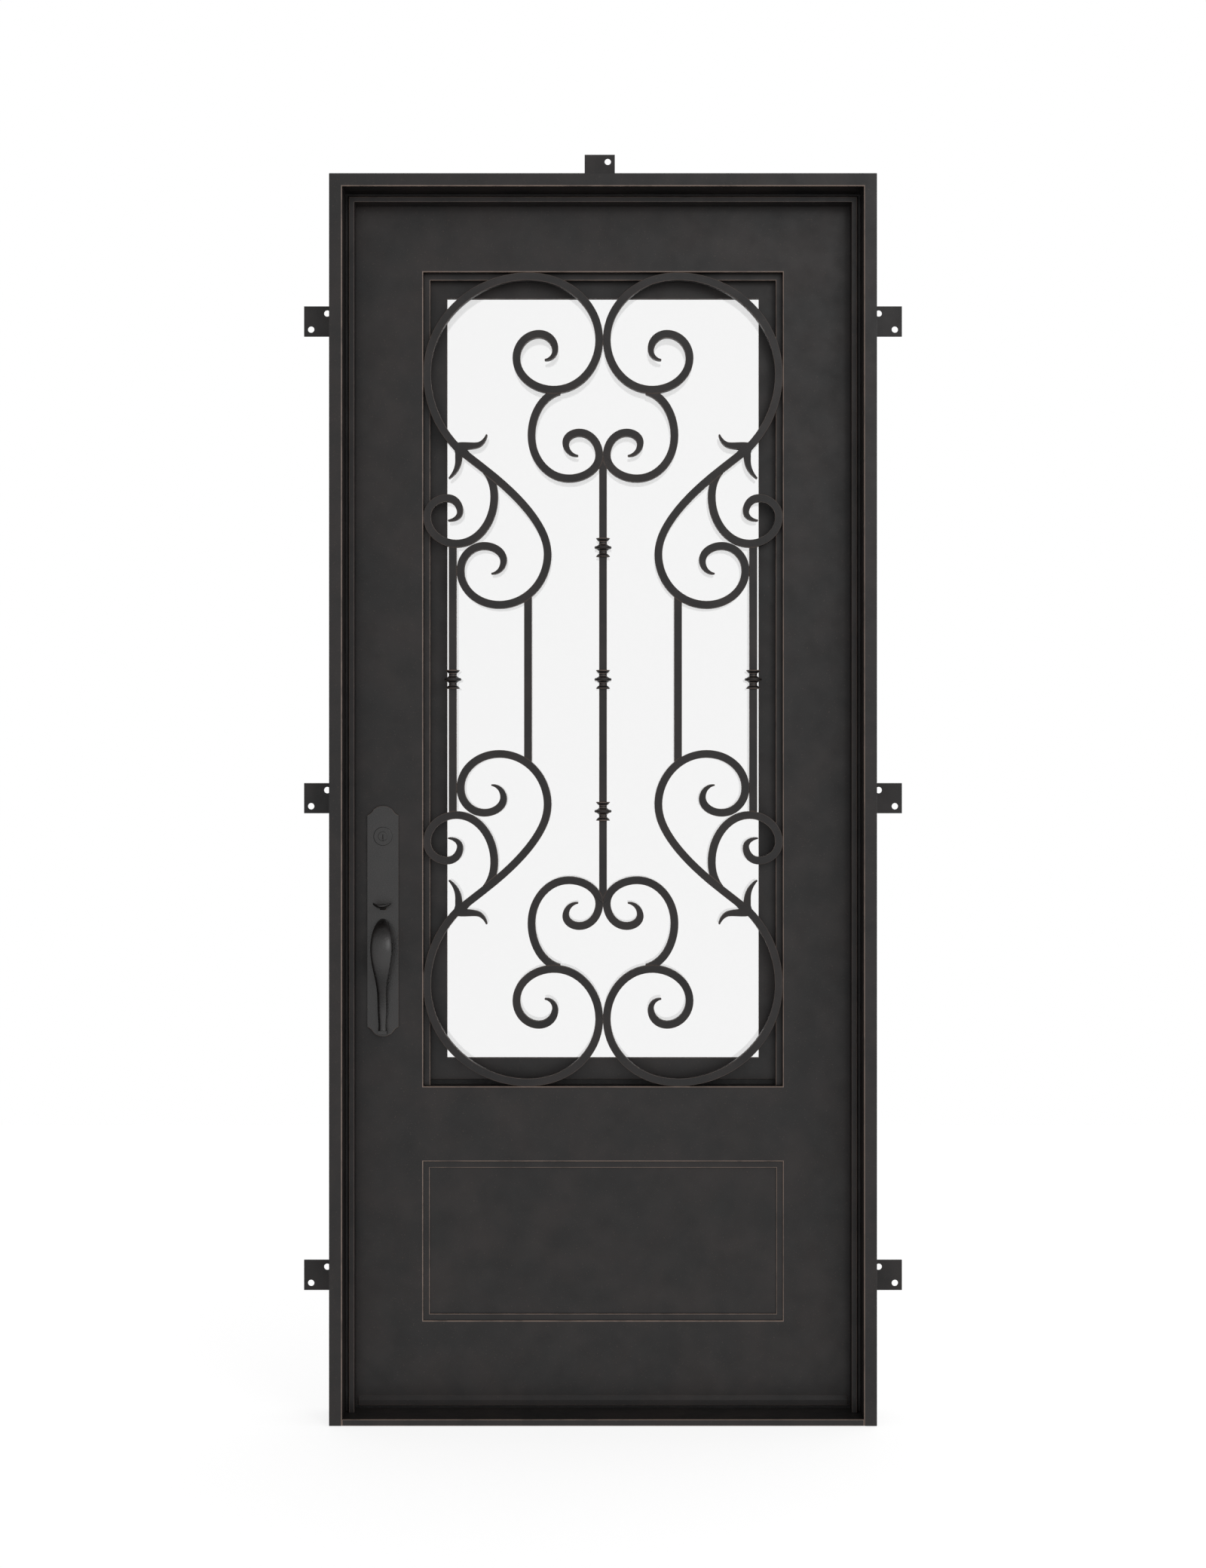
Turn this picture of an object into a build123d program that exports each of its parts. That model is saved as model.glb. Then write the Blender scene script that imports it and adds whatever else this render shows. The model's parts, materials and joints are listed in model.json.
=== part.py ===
from build123d import *
import math
import os

# Wrought iron entry door, hung in its steel frame and seen from outside.
# +Z is up, the outside is -Y, and the origin is the middle of the sill's underside.

# Frame
FRAME_WIDTH = 1066.8
FRAME_HEIGHT = 2438.4
FRAME_DEPTH = 152.4
JAMB_FACE = 25.4
JAMB_STEP = 6.3
JAMB_STEP_DEPTH = 71.0
JAMB_WALL = 2.7
SILL_HEIGHT = 12.7

# Stop bars, against which the leaf closes
STOP_WIDTH = 12.1
STOP_FRONT_DEPTH = 57.0
STOP_BEVEL = 2.3
SEAL_THICKNESS = 4.2
SEAL_INSET = 1.5
SEAL_GAP = 0.4

# Anchor tabs on the outside of the frame
TAB_SIZE = 60.0
TAB_THICKNESS = 4.0
TAB_DEPTH = 105.0
TAB_HOLE = 12.7
TAB_HOLE_OFFSET = 16.0
TAB_TOP_DISTANCE = 270.9
TAB_FOOT_DISTANCE = 275.2
TAB_HEAD_OFFSET = -6.5

# Leaf
LEAF_THICKNESS = 50.8
LEAF_GAP = 5.0
SKIN = 2.0
TUBE_WALL = 2.0
STILE_WIDTH = 139.9
TOP_RAIL = 136.7
MIDDLE_RAIL = 149.2
BOTTOM_RAIL = 167.3
KICK_OPENING_HEIGHT = 315.4
KICK_BORDER = 12.7
KICK_STEP = 4.0
KICK_PLATE = 3.0

# Glazing behind the grille
STOP_LEDGE = 12.7
STOP_LEDGE_SETBACK = 20.0
GLAZING_SETBACK = 42.0
GLAZING_SIDE = 45.2
GLAZING_FOOT = 52.7
GLAZING_FOOT_GAP = 10.1
GLAZING_EDGE_GAP = 3.0
GLAZING_FLANGE = 14.0
GLAZING_FLANGE_THICKNESS = 6.0
GLAZING_SEAL = 3.0
GLASS_THICKNESS = 6.0
GLASS_LIP = 3.0
GLASS_BITE = 6.0

# Drip bar and sweep
DRIP_TOP = 37.5
DRIP_BEVEL_START = 28.5
DRIP_DEPTH = 5.0
SWEEP_CLEARANCE = 0.6
SWEEP_THICKNESS = 8.0

# Grille
BAR = 15.4
BAR_DEPTH = 16.0
GRILLE_SETBACK = 2.0
BAR_TRIM = 0.25
TIP_WIDTH = 3.0
TAPER = 4.0
LEAF_TAPER = 4.5
COLLAR_HALF = 18.6
COLLAR_NECK = 7.9
COLLAR_RIM = 17.0
COLLAR_END_RIM = 13.8

# Barrel hinges
HINGE_BARREL = 22.0
HINGE_KNUCKLE = 62.0
HINGE_WASHER_GAP = 1.0
HINGE_STANDOFF = 1.0
HINGE_PIN = 12.0
PIN_CLEARANCE = 0.05
HINGE_PLATE = 5.0
HINGE_PLATE_WIDTH = 26.0
HINGE_END_DISTANCE = 250.0
HINGE_COUNT = 3

# Handle set
BACKSET = 60.3
PLATE_WIDTH = 62.0
PLATE_ABOVE_CYLINDER = 60.8
PLATE_BELOW_FOOT = 5.4
PLATE_THICKNESS = 5.0
PLATE_SHOULDER = 19.0
PLATE_DOME_RADIUS = 27.0
CYLINDER_DIAMETER = 37.0
CYLINDER_PLUG = 18.0
CYLINDER_ABOVE_LATCH = 135.8
CYLINDER_PROUD = 2.0
LATCH_HEIGHT = 1010.0
LATCH_WIDTH = 35.0
LATCH_REACH = 44.0
LATCH_SAG = 4.0
LATCH_SHANK = 9.0
LATCH_SLOT_HEIGHT = 26.0
LATCH_EAR = 4.0
LATCH_SIDE_GAP = 1.0
LATCH_PIN = 4.0
LATCH_PIN_BEHIND = 12.0
GRIP_BELOW_LATCH = 31.0
GRIP_LENGTH = 218.0
GRIP_PROJECTION = 46.0
GRIP_WIDTH = 42.0
GRIP_NECK_WIDTH = 17.0
FOOT_HEIGHT = 7.0

# Lock edge
EDGE_PLATE_WIDTH = 25.4
EDGE_PLATE_THICKNESS = 2.0
EDGE_PLATE_MARGIN = 40.0
BOLT_WIDTH = 12.7
BOLT_HEIGHT = 22.0
BOLT_LENGTH = 24.0
STRIKE_HEIGHT = 70.0
STRIKE_HOLE = 28.0

# Places that follow from the sizes above
HALF_WIDTH = FRAME_WIDTH / 2
FRONT_Y = -FRAME_DEPTH / 2
BACK_Y = FRAME_DEPTH / 2
REBATE_INSET = JAMB_FACE + JAMB_STEP
REBATE_X = HALF_WIDTH - REBATE_INSET
STOP_INNER_X = REBATE_X - STOP_WIDTH
STOP_INNER_Z = FRAME_HEIGHT - REBATE_INSET - STOP_WIDTH
LEAF_HALF = REBATE_X - LEAF_GAP
LEAF_TOP = FRAME_HEIGHT - REBATE_INSET - LEAF_GAP
LEAF_BOTTOM = SILL_HEIGHT + LEAF_GAP
LEAF_FACE_Y = BACK_Y - LEAF_THICKNESS
TUBE_FRONT_Y = LEAF_FACE_Y + SKIN
TUBE_BACK_Y = BACK_Y - SKIN
STOP_FRONT_Y = FRONT_Y + STOP_FRONT_DEPTH
STOP_BACK_Y = LEAF_FACE_Y - SEAL_GAP - SEAL_THICKNESS
GLASS_HALF = LEAF_HALF - STILE_WIDTH
KICK_OPENING_BOTTOM = LEAF_BOTTOM + BOTTOM_RAIL
KICK_OPENING_TOP = KICK_OPENING_BOTTOM + KICK_OPENING_HEIGHT
GLASS_OPENING_BOTTOM = KICK_OPENING_TOP + MIDDLE_RAIL
GLASS_OPENING_TOP = LEAF_TOP - TOP_RAIL
GLAZING_Y = LEAF_FACE_Y + GLAZING_SETBACK
GRILLE_FRONT_Y = LEAF_FACE_Y + GRILLE_SETBACK
GRILLE_Z = (GLASS_OPENING_BOTTOM + GLASS_OPENING_TOP) / 2
GRILLE_HALF_HEIGHT = (GLASS_OPENING_TOP - GLASS_OPENING_BOTTOM) / 2
HINGE_X = REBATE_X - LEAF_GAP / 2
HINGE_Y = BACK_Y + HINGE_STANDOFF + HINGE_BARREL / 2
HANDLE_X = -LEAF_HALF + BACKSET
CYLINDER_HEIGHT = LATCH_HEIGHT + CYLINDER_ABOVE_LATCH
GRIP_TOP = LATCH_HEIGHT - GRIP_BELOW_LATCH
PLATE_TOP = CYLINDER_HEIGHT + PLATE_ABOVE_CYLINDER
PLATE_BOTTOM = GRIP_TOP - GRIP_LENGTH - FOOT_HEIGHT - PLATE_BELOW_FOOT
PLATE_FRONT_Y = LEAF_FACE_Y - PLATE_THICKNESS
LATCH_PIN_Y = PLATE_FRONT_Y + LATCH_PIN_BEHIND
LOCK_Y = (LEAF_FACE_Y + BACK_Y) / 2


def block(x, y, z):
    """A box from its low and high corner on each axis, each given as a pair."""
    size = (x[1] - x[0], y[1] - y[0], z[1] - z[0])
    middle = ((x[0] + x[1]) / 2, (y[0] + y[1]) / 2, (z[0] + z[1]) / 2)
    return Pos(*middle) * Box(*size)


def prism(points, plane, low, high):
    """A polygon drawn on a plane and extruded from one offset to another."""
    face = make_face(plane * Polyline(*points, close=True))
    start = Location(plane.z_dir * low)
    return start * extrude(face, amount=high - low, dir=plane.z_dir)


def front_prism(points, y_low, y_high):
    """An (x, z) outline extruded in depth."""
    return prism(points, Plane.XZ, -y_high, -y_low)


def plan_prism(points, z_low, z_high):
    """An (x, y) outline extruded upwards."""
    return prism(points, Plane.XY, z_low, z_high)


def side_prism(points, x_low, x_high):
    """A (y, z) outline extruded sideways."""
    return prism(points, Plane.YZ, x_low, x_high)


def outline_face(curves, plane=Plane.XY):
    """A face inside a closed loop of curves, moved onto a plane."""
    edges = []
    for curve in curves:
        edges.extend(curve.edges())
    return plane * make_face(edges)


def mirror_x(shape):
    return mirror(shape, about=Plane.YZ)


def as_compound(pieces):
    """Separate solids kept side by side in one node."""
    solids = []
    for piece in pieces:
        solids.extend(piece.solids())
    return Compound(children=solids)


def jamb_outline(wall):
    """The frame member's section as (inset, depth), shrunk by a wall thickness."""
    return [
        (wall, wall),
        (JAMB_FACE - wall, wall),
        (JAMB_FACE - wall, JAMB_STEP_DEPTH + wall),
        (REBATE_INSET - wall, JAMB_STEP_DEPTH + wall),
        (REBATE_INSET - wall, FRAME_DEPTH - wall),
        (wall, FRAME_DEPTH - wall),
    ]


def side_mitre():
    """The region of the left jamb below the 45 degree mitre at its top."""
    reach = REBATE_INSET + 20
    outline = [
        (-HALF_WIDTH, 0),
        (-HALF_WIDTH + reach, 0),
        (-HALF_WIDTH + reach, FRAME_HEIGHT - reach),
        (-HALF_WIDTH, FRAME_HEIGHT),
    ]
    return front_prism(outline, FRONT_Y, BACK_Y)


def left_jamb():
    """The latch side's jamb, a closed tube with a step for the stop."""
    def tube(wall):
        points = [(-HALF_WIDTH + i, FRONT_Y + d) for i, d in jamb_outline(wall)]
        return plan_prism(points, 0, FRAME_HEIGHT)

    return (tube(0) - tube(JAMB_WALL)) & side_mitre()


def head_jamb():
    """The head, with the jambs' section and a mitre at each end."""
    def tube(wall):
        points = [(FRONT_Y + d, FRAME_HEIGHT - i) for i, d in jamb_outline(wall)]
        return side_prism(points, -HALF_WIDTH, HALF_WIDTH)

    reach = REBATE_INSET + 20
    outline = [
        (-HALF_WIDTH, FRAME_HEIGHT),
        (HALF_WIDTH, FRAME_HEIGHT),
        (HALF_WIDTH - reach, FRAME_HEIGHT - reach),
        (-HALF_WIDTH + reach, FRAME_HEIGHT - reach),
    ]
    return (tube(0) - tube(JAMB_WALL)) & front_prism(outline, FRONT_Y, BACK_Y)


def sill():
    """The flat threshold that fills the space between the jambs."""
    step_y = FRONT_Y + JAMB_STEP_DEPTH
    reveal_x = HALF_WIDTH - JAMB_FACE
    points = [
        (-reveal_x, FRONT_Y),
        (reveal_x, FRONT_Y),
        (reveal_x, step_y),
        (REBATE_X, step_y),
        (REBATE_X, BACK_Y),
        (-REBATE_X, BACK_Y),
        (-REBATE_X, step_y),
        (-reveal_x, step_y),
    ]
    return plan_prism(points, 0, SILL_HEIGHT)


def stop_outline():
    """The stop bar's section as (inset from the frame's outer face, y)."""
    outer = REBATE_INSET
    inner = REBATE_INSET + STOP_WIDTH
    return [
        (outer + STOP_BEVEL, STOP_FRONT_Y),
        (inner, STOP_FRONT_Y),
        (inner, STOP_BACK_Y),
        (outer, STOP_BACK_Y),
        (outer, STOP_FRONT_Y + STOP_BEVEL),
    ]


def seal_outline():
    """The weatherstrip's section, on the back of the stop bar."""
    outer = REBATE_INSET + SEAL_INSET
    inner = REBATE_INSET + STOP_WIDTH - SEAL_INSET
    round_back = SEAL_THICKNESS / 2
    back = STOP_BACK_Y + SEAL_THICKNESS
    return [
        (outer, STOP_BACK_Y),
        (inner, STOP_BACK_Y),
        (inner, back - round_back),
        (inner - round_back, back),
        (outer + round_back, back),
        (outer, back - round_back),
    ]


def side_strip(outline):
    """A strip up the latch side, mitred where it meets the head's strip."""
    points = [(-HALF_WIDTH + i, y) for i, y in outline]
    strip = plan_prism(points, SILL_HEIGHT, FRAME_HEIGHT)
    reach = REBATE_INSET + STOP_WIDTH + 20
    region = [
        (-HALF_WIDTH, SILL_HEIGHT),
        (-HALF_WIDTH + reach, SILL_HEIGHT),
        (-HALF_WIDTH + reach, FRAME_HEIGHT - reach),
        (-HALF_WIDTH, FRAME_HEIGHT),
    ]
    return strip & front_prism(region, FRONT_Y, BACK_Y)


def head_strip(outline):
    """A strip across the head, mitred at both ends."""
    points = [(y, FRAME_HEIGHT - i) for i, y in outline]
    strip = side_prism(points, -HALF_WIDTH, HALF_WIDTH)
    reach = REBATE_INSET + STOP_WIDTH + 20
    region = [
        (-HALF_WIDTH, FRAME_HEIGHT),
        (HALF_WIDTH, FRAME_HEIGHT),
        (HALF_WIDTH - reach, FRAME_HEIGHT - reach),
        (-HALF_WIDTH + reach, FRAME_HEIGHT - reach),
    ]
    return strip & front_prism(region, FRONT_Y, BACK_Y)


def tab_plate(x_mid, z_mid, slant):
    """A square steel tab with two bolt holes on one diagonal."""
    half = TAB_SIZE / 2
    y_low = FRONT_Y + TAB_DEPTH - TAB_THICKNESS / 2
    y = (y_low, y_low + TAB_THICKNESS)
    plate = block((x_mid - half, x_mid + half), y, (z_mid - half, z_mid + half))
    for side in (-1, 1):
        centre = (x_mid + side * slant * TAB_HOLE_OFFSET, FRONT_Y + TAB_DEPTH)
        hole = Cylinder(TAB_HOLE / 2, TAB_THICKNESS * 3)
        plate -= Pos(*centre, z_mid + side * TAB_HOLE_OFFSET) * Rot(90, 0, 0) * hole
    return plate


def anchor_tabs():
    """Three tabs up each side of the frame and one on its head."""
    low = TAB_FOOT_DISTANCE
    high = FRAME_HEIGHT - TAB_TOP_DISTANCE
    heights = [low, (low + high) / 2, high]
    tab_x = HALF_WIDTH + TAB_SIZE / 2
    tabs = []
    for height in heights:
        tabs.append(tab_plate(-tab_x, height, 1))
        tabs.append(tab_plate(tab_x, height, -1))
    tabs.append(tab_plate(TAB_HEAD_OFFSET, FRAME_HEIGHT + TAB_SIZE / 2, 1))
    return as_compound(tabs)


def hinge_heights():
    """The middle of each hinge, spread evenly up the leaf."""
    low = LEAF_BOTTOM + HINGE_END_DISTANCE
    high = LEAF_TOP - HINGE_END_DISTANCE
    step = (high - low) / (HINGE_COUNT - 1)
    return [low + step * i for i in range(HINGE_COUNT)]


def knuckle(low, plate_side):
    """A barrel with its weld-on plate, to the frame's side (1) or the leaf's (-1)."""
    barrel = Pos(HINGE_X, HINGE_Y, low + HINGE_KNUCKLE / 2) * Cylinder(
        HINGE_BARREL / 2, HINGE_KNUCKLE
    )
    near = HINGE_X + plate_side * (LEAF_GAP / 2 + HINGE_STANDOFF)
    far = near + plate_side * HINGE_PLATE_WIDTH
    x = (min(near, far), max(near, far))
    plate = block(x, (BACK_Y, BACK_Y + HINGE_PLATE), (low, low + HINGE_KNUCKLE))
    web_x = (min(near, HINGE_X), max(near, HINGE_X))
    web_y = (HINGE_Y - HINGE_BARREL / 2 + HINGE_STANDOFF, BACK_Y + HINGE_PLATE)
    web = block(web_x, web_y, (low, low + HINGE_KNUCKLE))
    return barrel + plate + web


def frame_knuckles():
    """The lower knuckles, bored for the pins that stand in them."""
    parts = []
    for height in hinge_heights():
        low = height - HINGE_WASHER_GAP / 2 - HINGE_KNUCKLE
        bore = Pos(HINGE_X, HINGE_Y, height - HINGE_KNUCKLE / 4) * Cylinder(
            HINGE_PIN / 2, HINGE_KNUCKLE / 2
        )
        parts.append(knuckle(low, 1) - bore)
    return as_compound(parts)


def hinge_pins():
    """A pin with a bearing washer in each lower knuckle."""
    parts = []
    for height in hinge_heights():
        length = HINGE_KNUCKLE
        pin = Pos(HINGE_X, HINGE_Y, height) * Cylinder(HINGE_PIN / 2, length)
        frame_part = height - HINGE_WASHER_GAP / 2
        washer_height = HINGE_WASHER_GAP - 2 * PIN_CLEARANCE
        washer = Pos(HINGE_X, HINGE_Y, frame_part + washer_height / 2) * Cylinder(
            HINGE_BARREL / 2 - 1, washer_height
        )
        parts.append(pin + washer)
    return as_compound(parts)


def leaf_knuckles():
    """The upper knuckles, which turn on the pins with the leaf."""
    parts = []
    for height in hinge_heights():
        low = height + HINGE_WASHER_GAP / 2
        depth = HINGE_KNUCKLE / 2 + 2
        bore = Pos(HINGE_X, HINGE_Y, low - 1 + depth / 2) * Cylinder(
            HINGE_PIN / 2 + PIN_CLEARANCE, depth + 2
        )
        parts.append(knuckle(low, -1) - bore)
    return as_compound(parts)


def strike_boxes(depth, height, width):
    """Boxes at the latch and the deadbolt, cut into the latch side's rebate."""
    boxes = []
    for bolt_z in (LATCH_HEIGHT, CYLINDER_HEIGHT):
        x = (-REBATE_X - depth, -REBATE_X)
        y = (LOCK_Y - width / 2, LOCK_Y + width / 2)
        boxes.append(block(x, y, (bolt_z - height / 2, bolt_z + height / 2)))
    return boxes


def strike_plates():
    """Steel strikes let into the jamb, one for each bolt."""
    plates = strike_boxes(EDGE_PLATE_THICKNESS, STRIKE_HEIGHT, EDGE_PLATE_WIDTH)
    holes = strike_boxes(EDGE_PLATE_THICKNESS * 2, STRIKE_HOLE, BOLT_WIDTH + 4)
    return as_compound([plate - hole for plate, hole in zip(plates, holes)])


def cut_strikes(jamb):
    """The latch jamb with its strike recesses and bolt holes."""
    for box in strike_boxes(EDGE_PLATE_THICKNESS, STRIKE_HEIGHT, EDGE_PLATE_WIDTH):
        jamb -= box
    for box in strike_boxes(JAMB_WALL + 1, STRIKE_HOLE, BOLT_WIDTH + 4):
        jamb -= box
    return jamb


def latch_slot():
    """The slot through the skin and the stile for the thumb latch."""
    half = LATCH_SHANK / 2 + LATCH_SIDE_GAP + LATCH_EAR
    x = (HANDLE_X - half, HANDLE_X + half)
    y = (LEAF_FACE_Y - 1, TUBE_FRONT_Y + TUBE_WALL + 1)
    half_z = LATCH_SLOT_HEIGHT / 2
    return block(x, y, (LATCH_HEIGHT - half_z, LATCH_HEIGHT + half_z))


def leaf_skin(y):
    """A steel sheet with openings for the glass and the kick panel."""
    sheet = block((-LEAF_HALF, LEAF_HALF), y, (LEAF_BOTTOM, LEAF_TOP))
    across = (-GLASS_HALF, GLASS_HALF)
    sheet -= block(across, y, (GLASS_OPENING_BOTTOM, GLASS_OPENING_TOP))
    sheet -= block(across, y, (KICK_OPENING_BOTTOM, KICK_OPENING_TOP))
    return sheet


def left_stile():
    """The latch side's stile, a tube as tall as the leaf."""
    y = (TUBE_FRONT_Y, TUBE_BACK_Y)
    tall = (LEAF_BOTTOM, LEAF_TOP)
    tube = block((-LEAF_HALF, -GLASS_HALF), y, tall)
    hollow_y = (y[0] + TUBE_WALL, y[1] - TUBE_WALL)
    hollow_x = (-LEAF_HALF + TUBE_WALL, -GLASS_HALF - TUBE_WALL)
    return tube - block(hollow_x, hollow_y, tall)


def rail(low, high):
    """A tube between the stiles."""
    y = (TUBE_FRONT_Y, TUBE_BACK_Y)
    across = (-GLASS_HALF, GLASS_HALF)
    tube = block(across, y, (low, high))
    hollow_y = (y[0] + TUBE_WALL, y[1] - TUBE_WALL)
    return tube - block(across, hollow_y, (low + TUBE_WALL, high - TUBE_WALL))


def kick_panel(face_y, inward):
    """A stepped panel set back from one face of the leaf."""
    border_y = face_y + inward * (SKIN + KICK_STEP / 2)
    field_y = border_y + inward * KICK_STEP
    back_y = field_y + inward * KICK_PLATE
    across = (-GLASS_HALF, GLASS_HALF)
    tall = (KICK_OPENING_BOTTOM, KICK_OPENING_TOP)
    body = block(across, (min(border_y, back_y), max(border_y, back_y)), tall)
    inner_x = (-GLASS_HALF + KICK_BORDER, GLASS_HALF - KICK_BORDER)
    inner_z = (tall[0] + KICK_BORDER, tall[1] - KICK_BORDER)
    field = block(inner_x, (min(border_y, field_y), max(border_y, field_y)), inner_z)
    return body - field


def glazing_u(inset, ledge, y):
    """Bars up both sides and across the top of the glass opening."""
    top = GLASS_OPENING_TOP
    bottom = GLASS_OPENING_BOTTOM
    outer = block((-GLASS_HALF + inset, GLASS_HALF - inset), y, (bottom, top - inset))
    inner_x = (-GLASS_HALF + ledge, GLASS_HALF - ledge)
    return outer - block(inner_x, y, (bottom, top - ledge))


def glazing_frame():
    """The frame that holds the pane, with a flange on the room side."""
    edge = GLASS_HALF - GLAZING_EDGE_GAP
    body_z = (
        GLASS_OPENING_BOTTOM + GLAZING_FOOT_GAP,
        GLASS_OPENING_TOP - GLAZING_EDGE_GAP,
    )
    body = block((-edge, edge), (GLAZING_Y, BACK_Y), body_z)
    rim = GLASS_HALF + GLAZING_FLANGE
    flange_z = (
        GLASS_OPENING_BOTTOM - GLAZING_FLANGE,
        GLASS_OPENING_TOP + GLAZING_FLANGE,
    )
    flange_y = (BACK_Y, BACK_Y + GLAZING_FLANGE_THICKNESS)
    flange = block((-rim, rim), flange_y, flange_z)
    return body + flange - pane_box(glass_edges(0), GLAZING_Y, flange_y[1]) - glass()


def glass_edges(bite):
    """The pane's sight size, grown by how far the frame holds its edge."""
    x = (-GLASS_HALF + GLAZING_SIDE - bite, GLASS_HALF - GLAZING_SIDE + bite)
    z = (
        GLASS_OPENING_BOTTOM + GLAZING_FOOT - bite,
        GLASS_OPENING_TOP - GLAZING_SIDE + bite,
    )
    return x, z


def pane_box(edges, y_low, y_high):
    """A box from (x, z) edges and a depth."""
    return block(edges[0], (y_low, y_high), edges[1])


def glass():
    """One pane, held in a groove of its frame."""
    front = GLAZING_Y + GLASS_LIP
    return pane_box(glass_edges(GLASS_BITE), front, front + GLASS_THICKNESS)


def glazing_seal():
    """Rubber between the ledge bars and the glazing frame, and under its foot."""
    y = (GLAZING_Y - GLAZING_SEAL, GLAZING_Y)
    strip = glazing_u(GLAZING_EDGE_GAP, STOP_LEDGE - 2, y)
    across = (-GLASS_HALF + STOP_LEDGE - 2, GLASS_HALF - STOP_LEDGE + 2)
    foot_z = (GLASS_OPENING_BOTTOM, GLASS_OPENING_BOTTOM + GLAZING_FOOT_GAP)
    foot = block(across, (GLAZING_Y + 2, BACK_Y - 1), foot_z)
    return as_compound([strip, foot])


def drip_bar():
    """A bevelled bar along the foot of the leaf's outside."""
    y = LEAF_FACE_Y
    points = [
        (y, LEAF_BOTTOM),
        (y - DRIP_DEPTH, LEAF_BOTTOM),
        (y - DRIP_DEPTH, DRIP_BEVEL_START),
        (y, DRIP_TOP),
    ]
    half = STOP_INNER_X - LEAF_GAP
    return side_prism(points, -half, half)


def door_sweep():
    """A rubber blade under the leaf, just clear of the sill."""
    half = LEAF_HALF
    y = (LEAF_FACE_Y, LEAF_FACE_Y + SWEEP_THICKNESS)
    low = SILL_HEIGHT + SWEEP_CLEARANCE
    return block((-half, half), y, (low, LEAF_BOTTOM))


def heading(degrees):
    return Vector(math.cos(math.radians(degrees)), math.sin(math.radians(degrees)))


def grille_point(x, z):
    """Fit a drawn point of the pattern to the opening, spread across it and up it."""
    side = GLASS_HALF - BAR / 2 + BAR_TRIM
    middle = BAR / 2 - BAR_TRIM
    top = GRILLE_HALF_HEIGHT - BAR / 2 + BAR_TRIM
    share = (abs(x) - DRAWN_MIDDLE) / (DRAWN_SIDE - DRAWN_MIDDLE)
    return Vector(-middle - share * (side - middle), z * top / DRAWN_TOP)


def curve_points(nodes):
    """Points and normals along smooth curves through (x, z, heading) nodes."""
    points = []
    for first, second in zip(nodes, nodes[1:]):
        start = grille_point(first[0], first[1])
        end = grille_point(second[0], second[1])
        out_dir = heading(first[2])
        in_dir = heading(second[2])
        turn = abs((second[2] - first[2] + 180) % 360 - 180)
        turn = math.radians(max(turn, 1.0))
        handle = 4 / 3 * math.tan(turn / 4) / math.sin(turn)
        chord = end - start
        near = start + out_dir * abs(chord.dot(out_dir)) * handle
        far = end - in_dir * abs(chord.dot(in_dir)) * handle
        steps = max(2, math.ceil(math.degrees(turn) / 18))
        for step in range(steps):
            points.append(bezier(start, near, far, end, step / steps))
    last = grille_point(nodes[-1][0], nodes[-1][1])
    points.append((last, heading(nodes[-1][2])))
    return points


def bezier(start, near, far, end, t):
    """A point on a cubic curve and its direction there."""
    u = 1 - t
    point = start * u**3 + near * 3 * u * u * t + far * 3 * u * t * t + end * t**3
    slope = (near - start) * 3 * u * u + (far - near) * 6 * u * t + (end - far) * 3 * t * t
    return point, slope.normalized()


def forged_bar(nodes, taper):
    """A bar bent through the nodes and drawn out to a point over some bar widths."""
    points = curve_points(nodes)
    lengths = [0.0]
    for first, second in zip(points, points[1:]):
        lengths.append(lengths[-1] + (second[0] - first[0]).length)
    total = lengths[-1]
    left = []
    right = []
    for (point, direction), along in zip(points, lengths):
        remaining = total - along
        share = min(1.0, remaining / (taper * BAR))
        width = TIP_WIDTH + (BAR - TIP_WIDTH) * math.sin(share * math.pi / 2)
        side = Vector(-direction.Y, direction.X) * (width / 2)
        left.append(point + side)
        right.append(point - side)
    edges = [
        Spline(*left),
        Line(left[-1], right[-1]),
        Spline(*right),
        Line(left[0], right[0]),
    ]
    face = outline_face(edges, Plane.XZ)
    bar = extrude(face, amount=BAR_DEPTH, dir=(0, 1, 0))
    return Pos(0, GRILLE_FRONT_Y, GRILLE_Z) * bar


# The pattern as drawn, from the opening's middle: the middle lines of bars that touch
# the opening's side, the centre line and the opening's top, then the places of bars.
DRAWN_SIDE = 349.35
DRAWN_MIDDLE = 7.45
DRAWN_TOP = 800.25
SIDE_BAR_X = 298.5
INNER_BAR_X = 149.0
UPPER_COLLAR_Z = 262.0
HEART_TOUCH_Z = 445.0
BRANCH_TOUCH_Z = 268.0
TEARDROP_TOUCH_Z = 168.0

# Nodes as (x, z, heading), from each bar's root to its drawn-out tip.
CORNER_PATH = [
    (-288, 459, 135),
    (-DRAWN_SIDE, 606, 90),
    (-147, DRAWN_TOP, 0),
    (-DRAWN_MIDDLE, 675, -90),
    (-97, 575, -180),
    (-172, 638, -270),
    (-127, 686, -360),
    (-95, 655, -450),
    (-116, 634.5, -540),
]
HEART_PATH = [
    (-86, 573, 195),
    (-142, 484, 270),
    (-68, 399, 360),
    (-DRAWN_MIDDLE, 445, 450),
    (-47, 490, 540),
    (-74, 469, 630),
    (-49, 444, 720),
]
TEARDROP_PATH = [
    (-288, 459, -40),
    (-216, 402, -40),
    (-146.5, 333, -52),
    (-110, 249, -90),
    (-206, 148, -180),
    (-283, 216, -270),
    (-236, 265, -360),
    (-197.5, 236, -450),
    (-222, 210, -540),
]
BRANCH_PATH = [
    (-232, 414, -53),
    (-216, 363, -90),
    (-291, 269.5, -180),
    (-DRAWN_SIDE, 323, -270),
    (-309, 360, -360),
    (-284, 333, -450),
    (-308, 315.5, -540),
]
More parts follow.
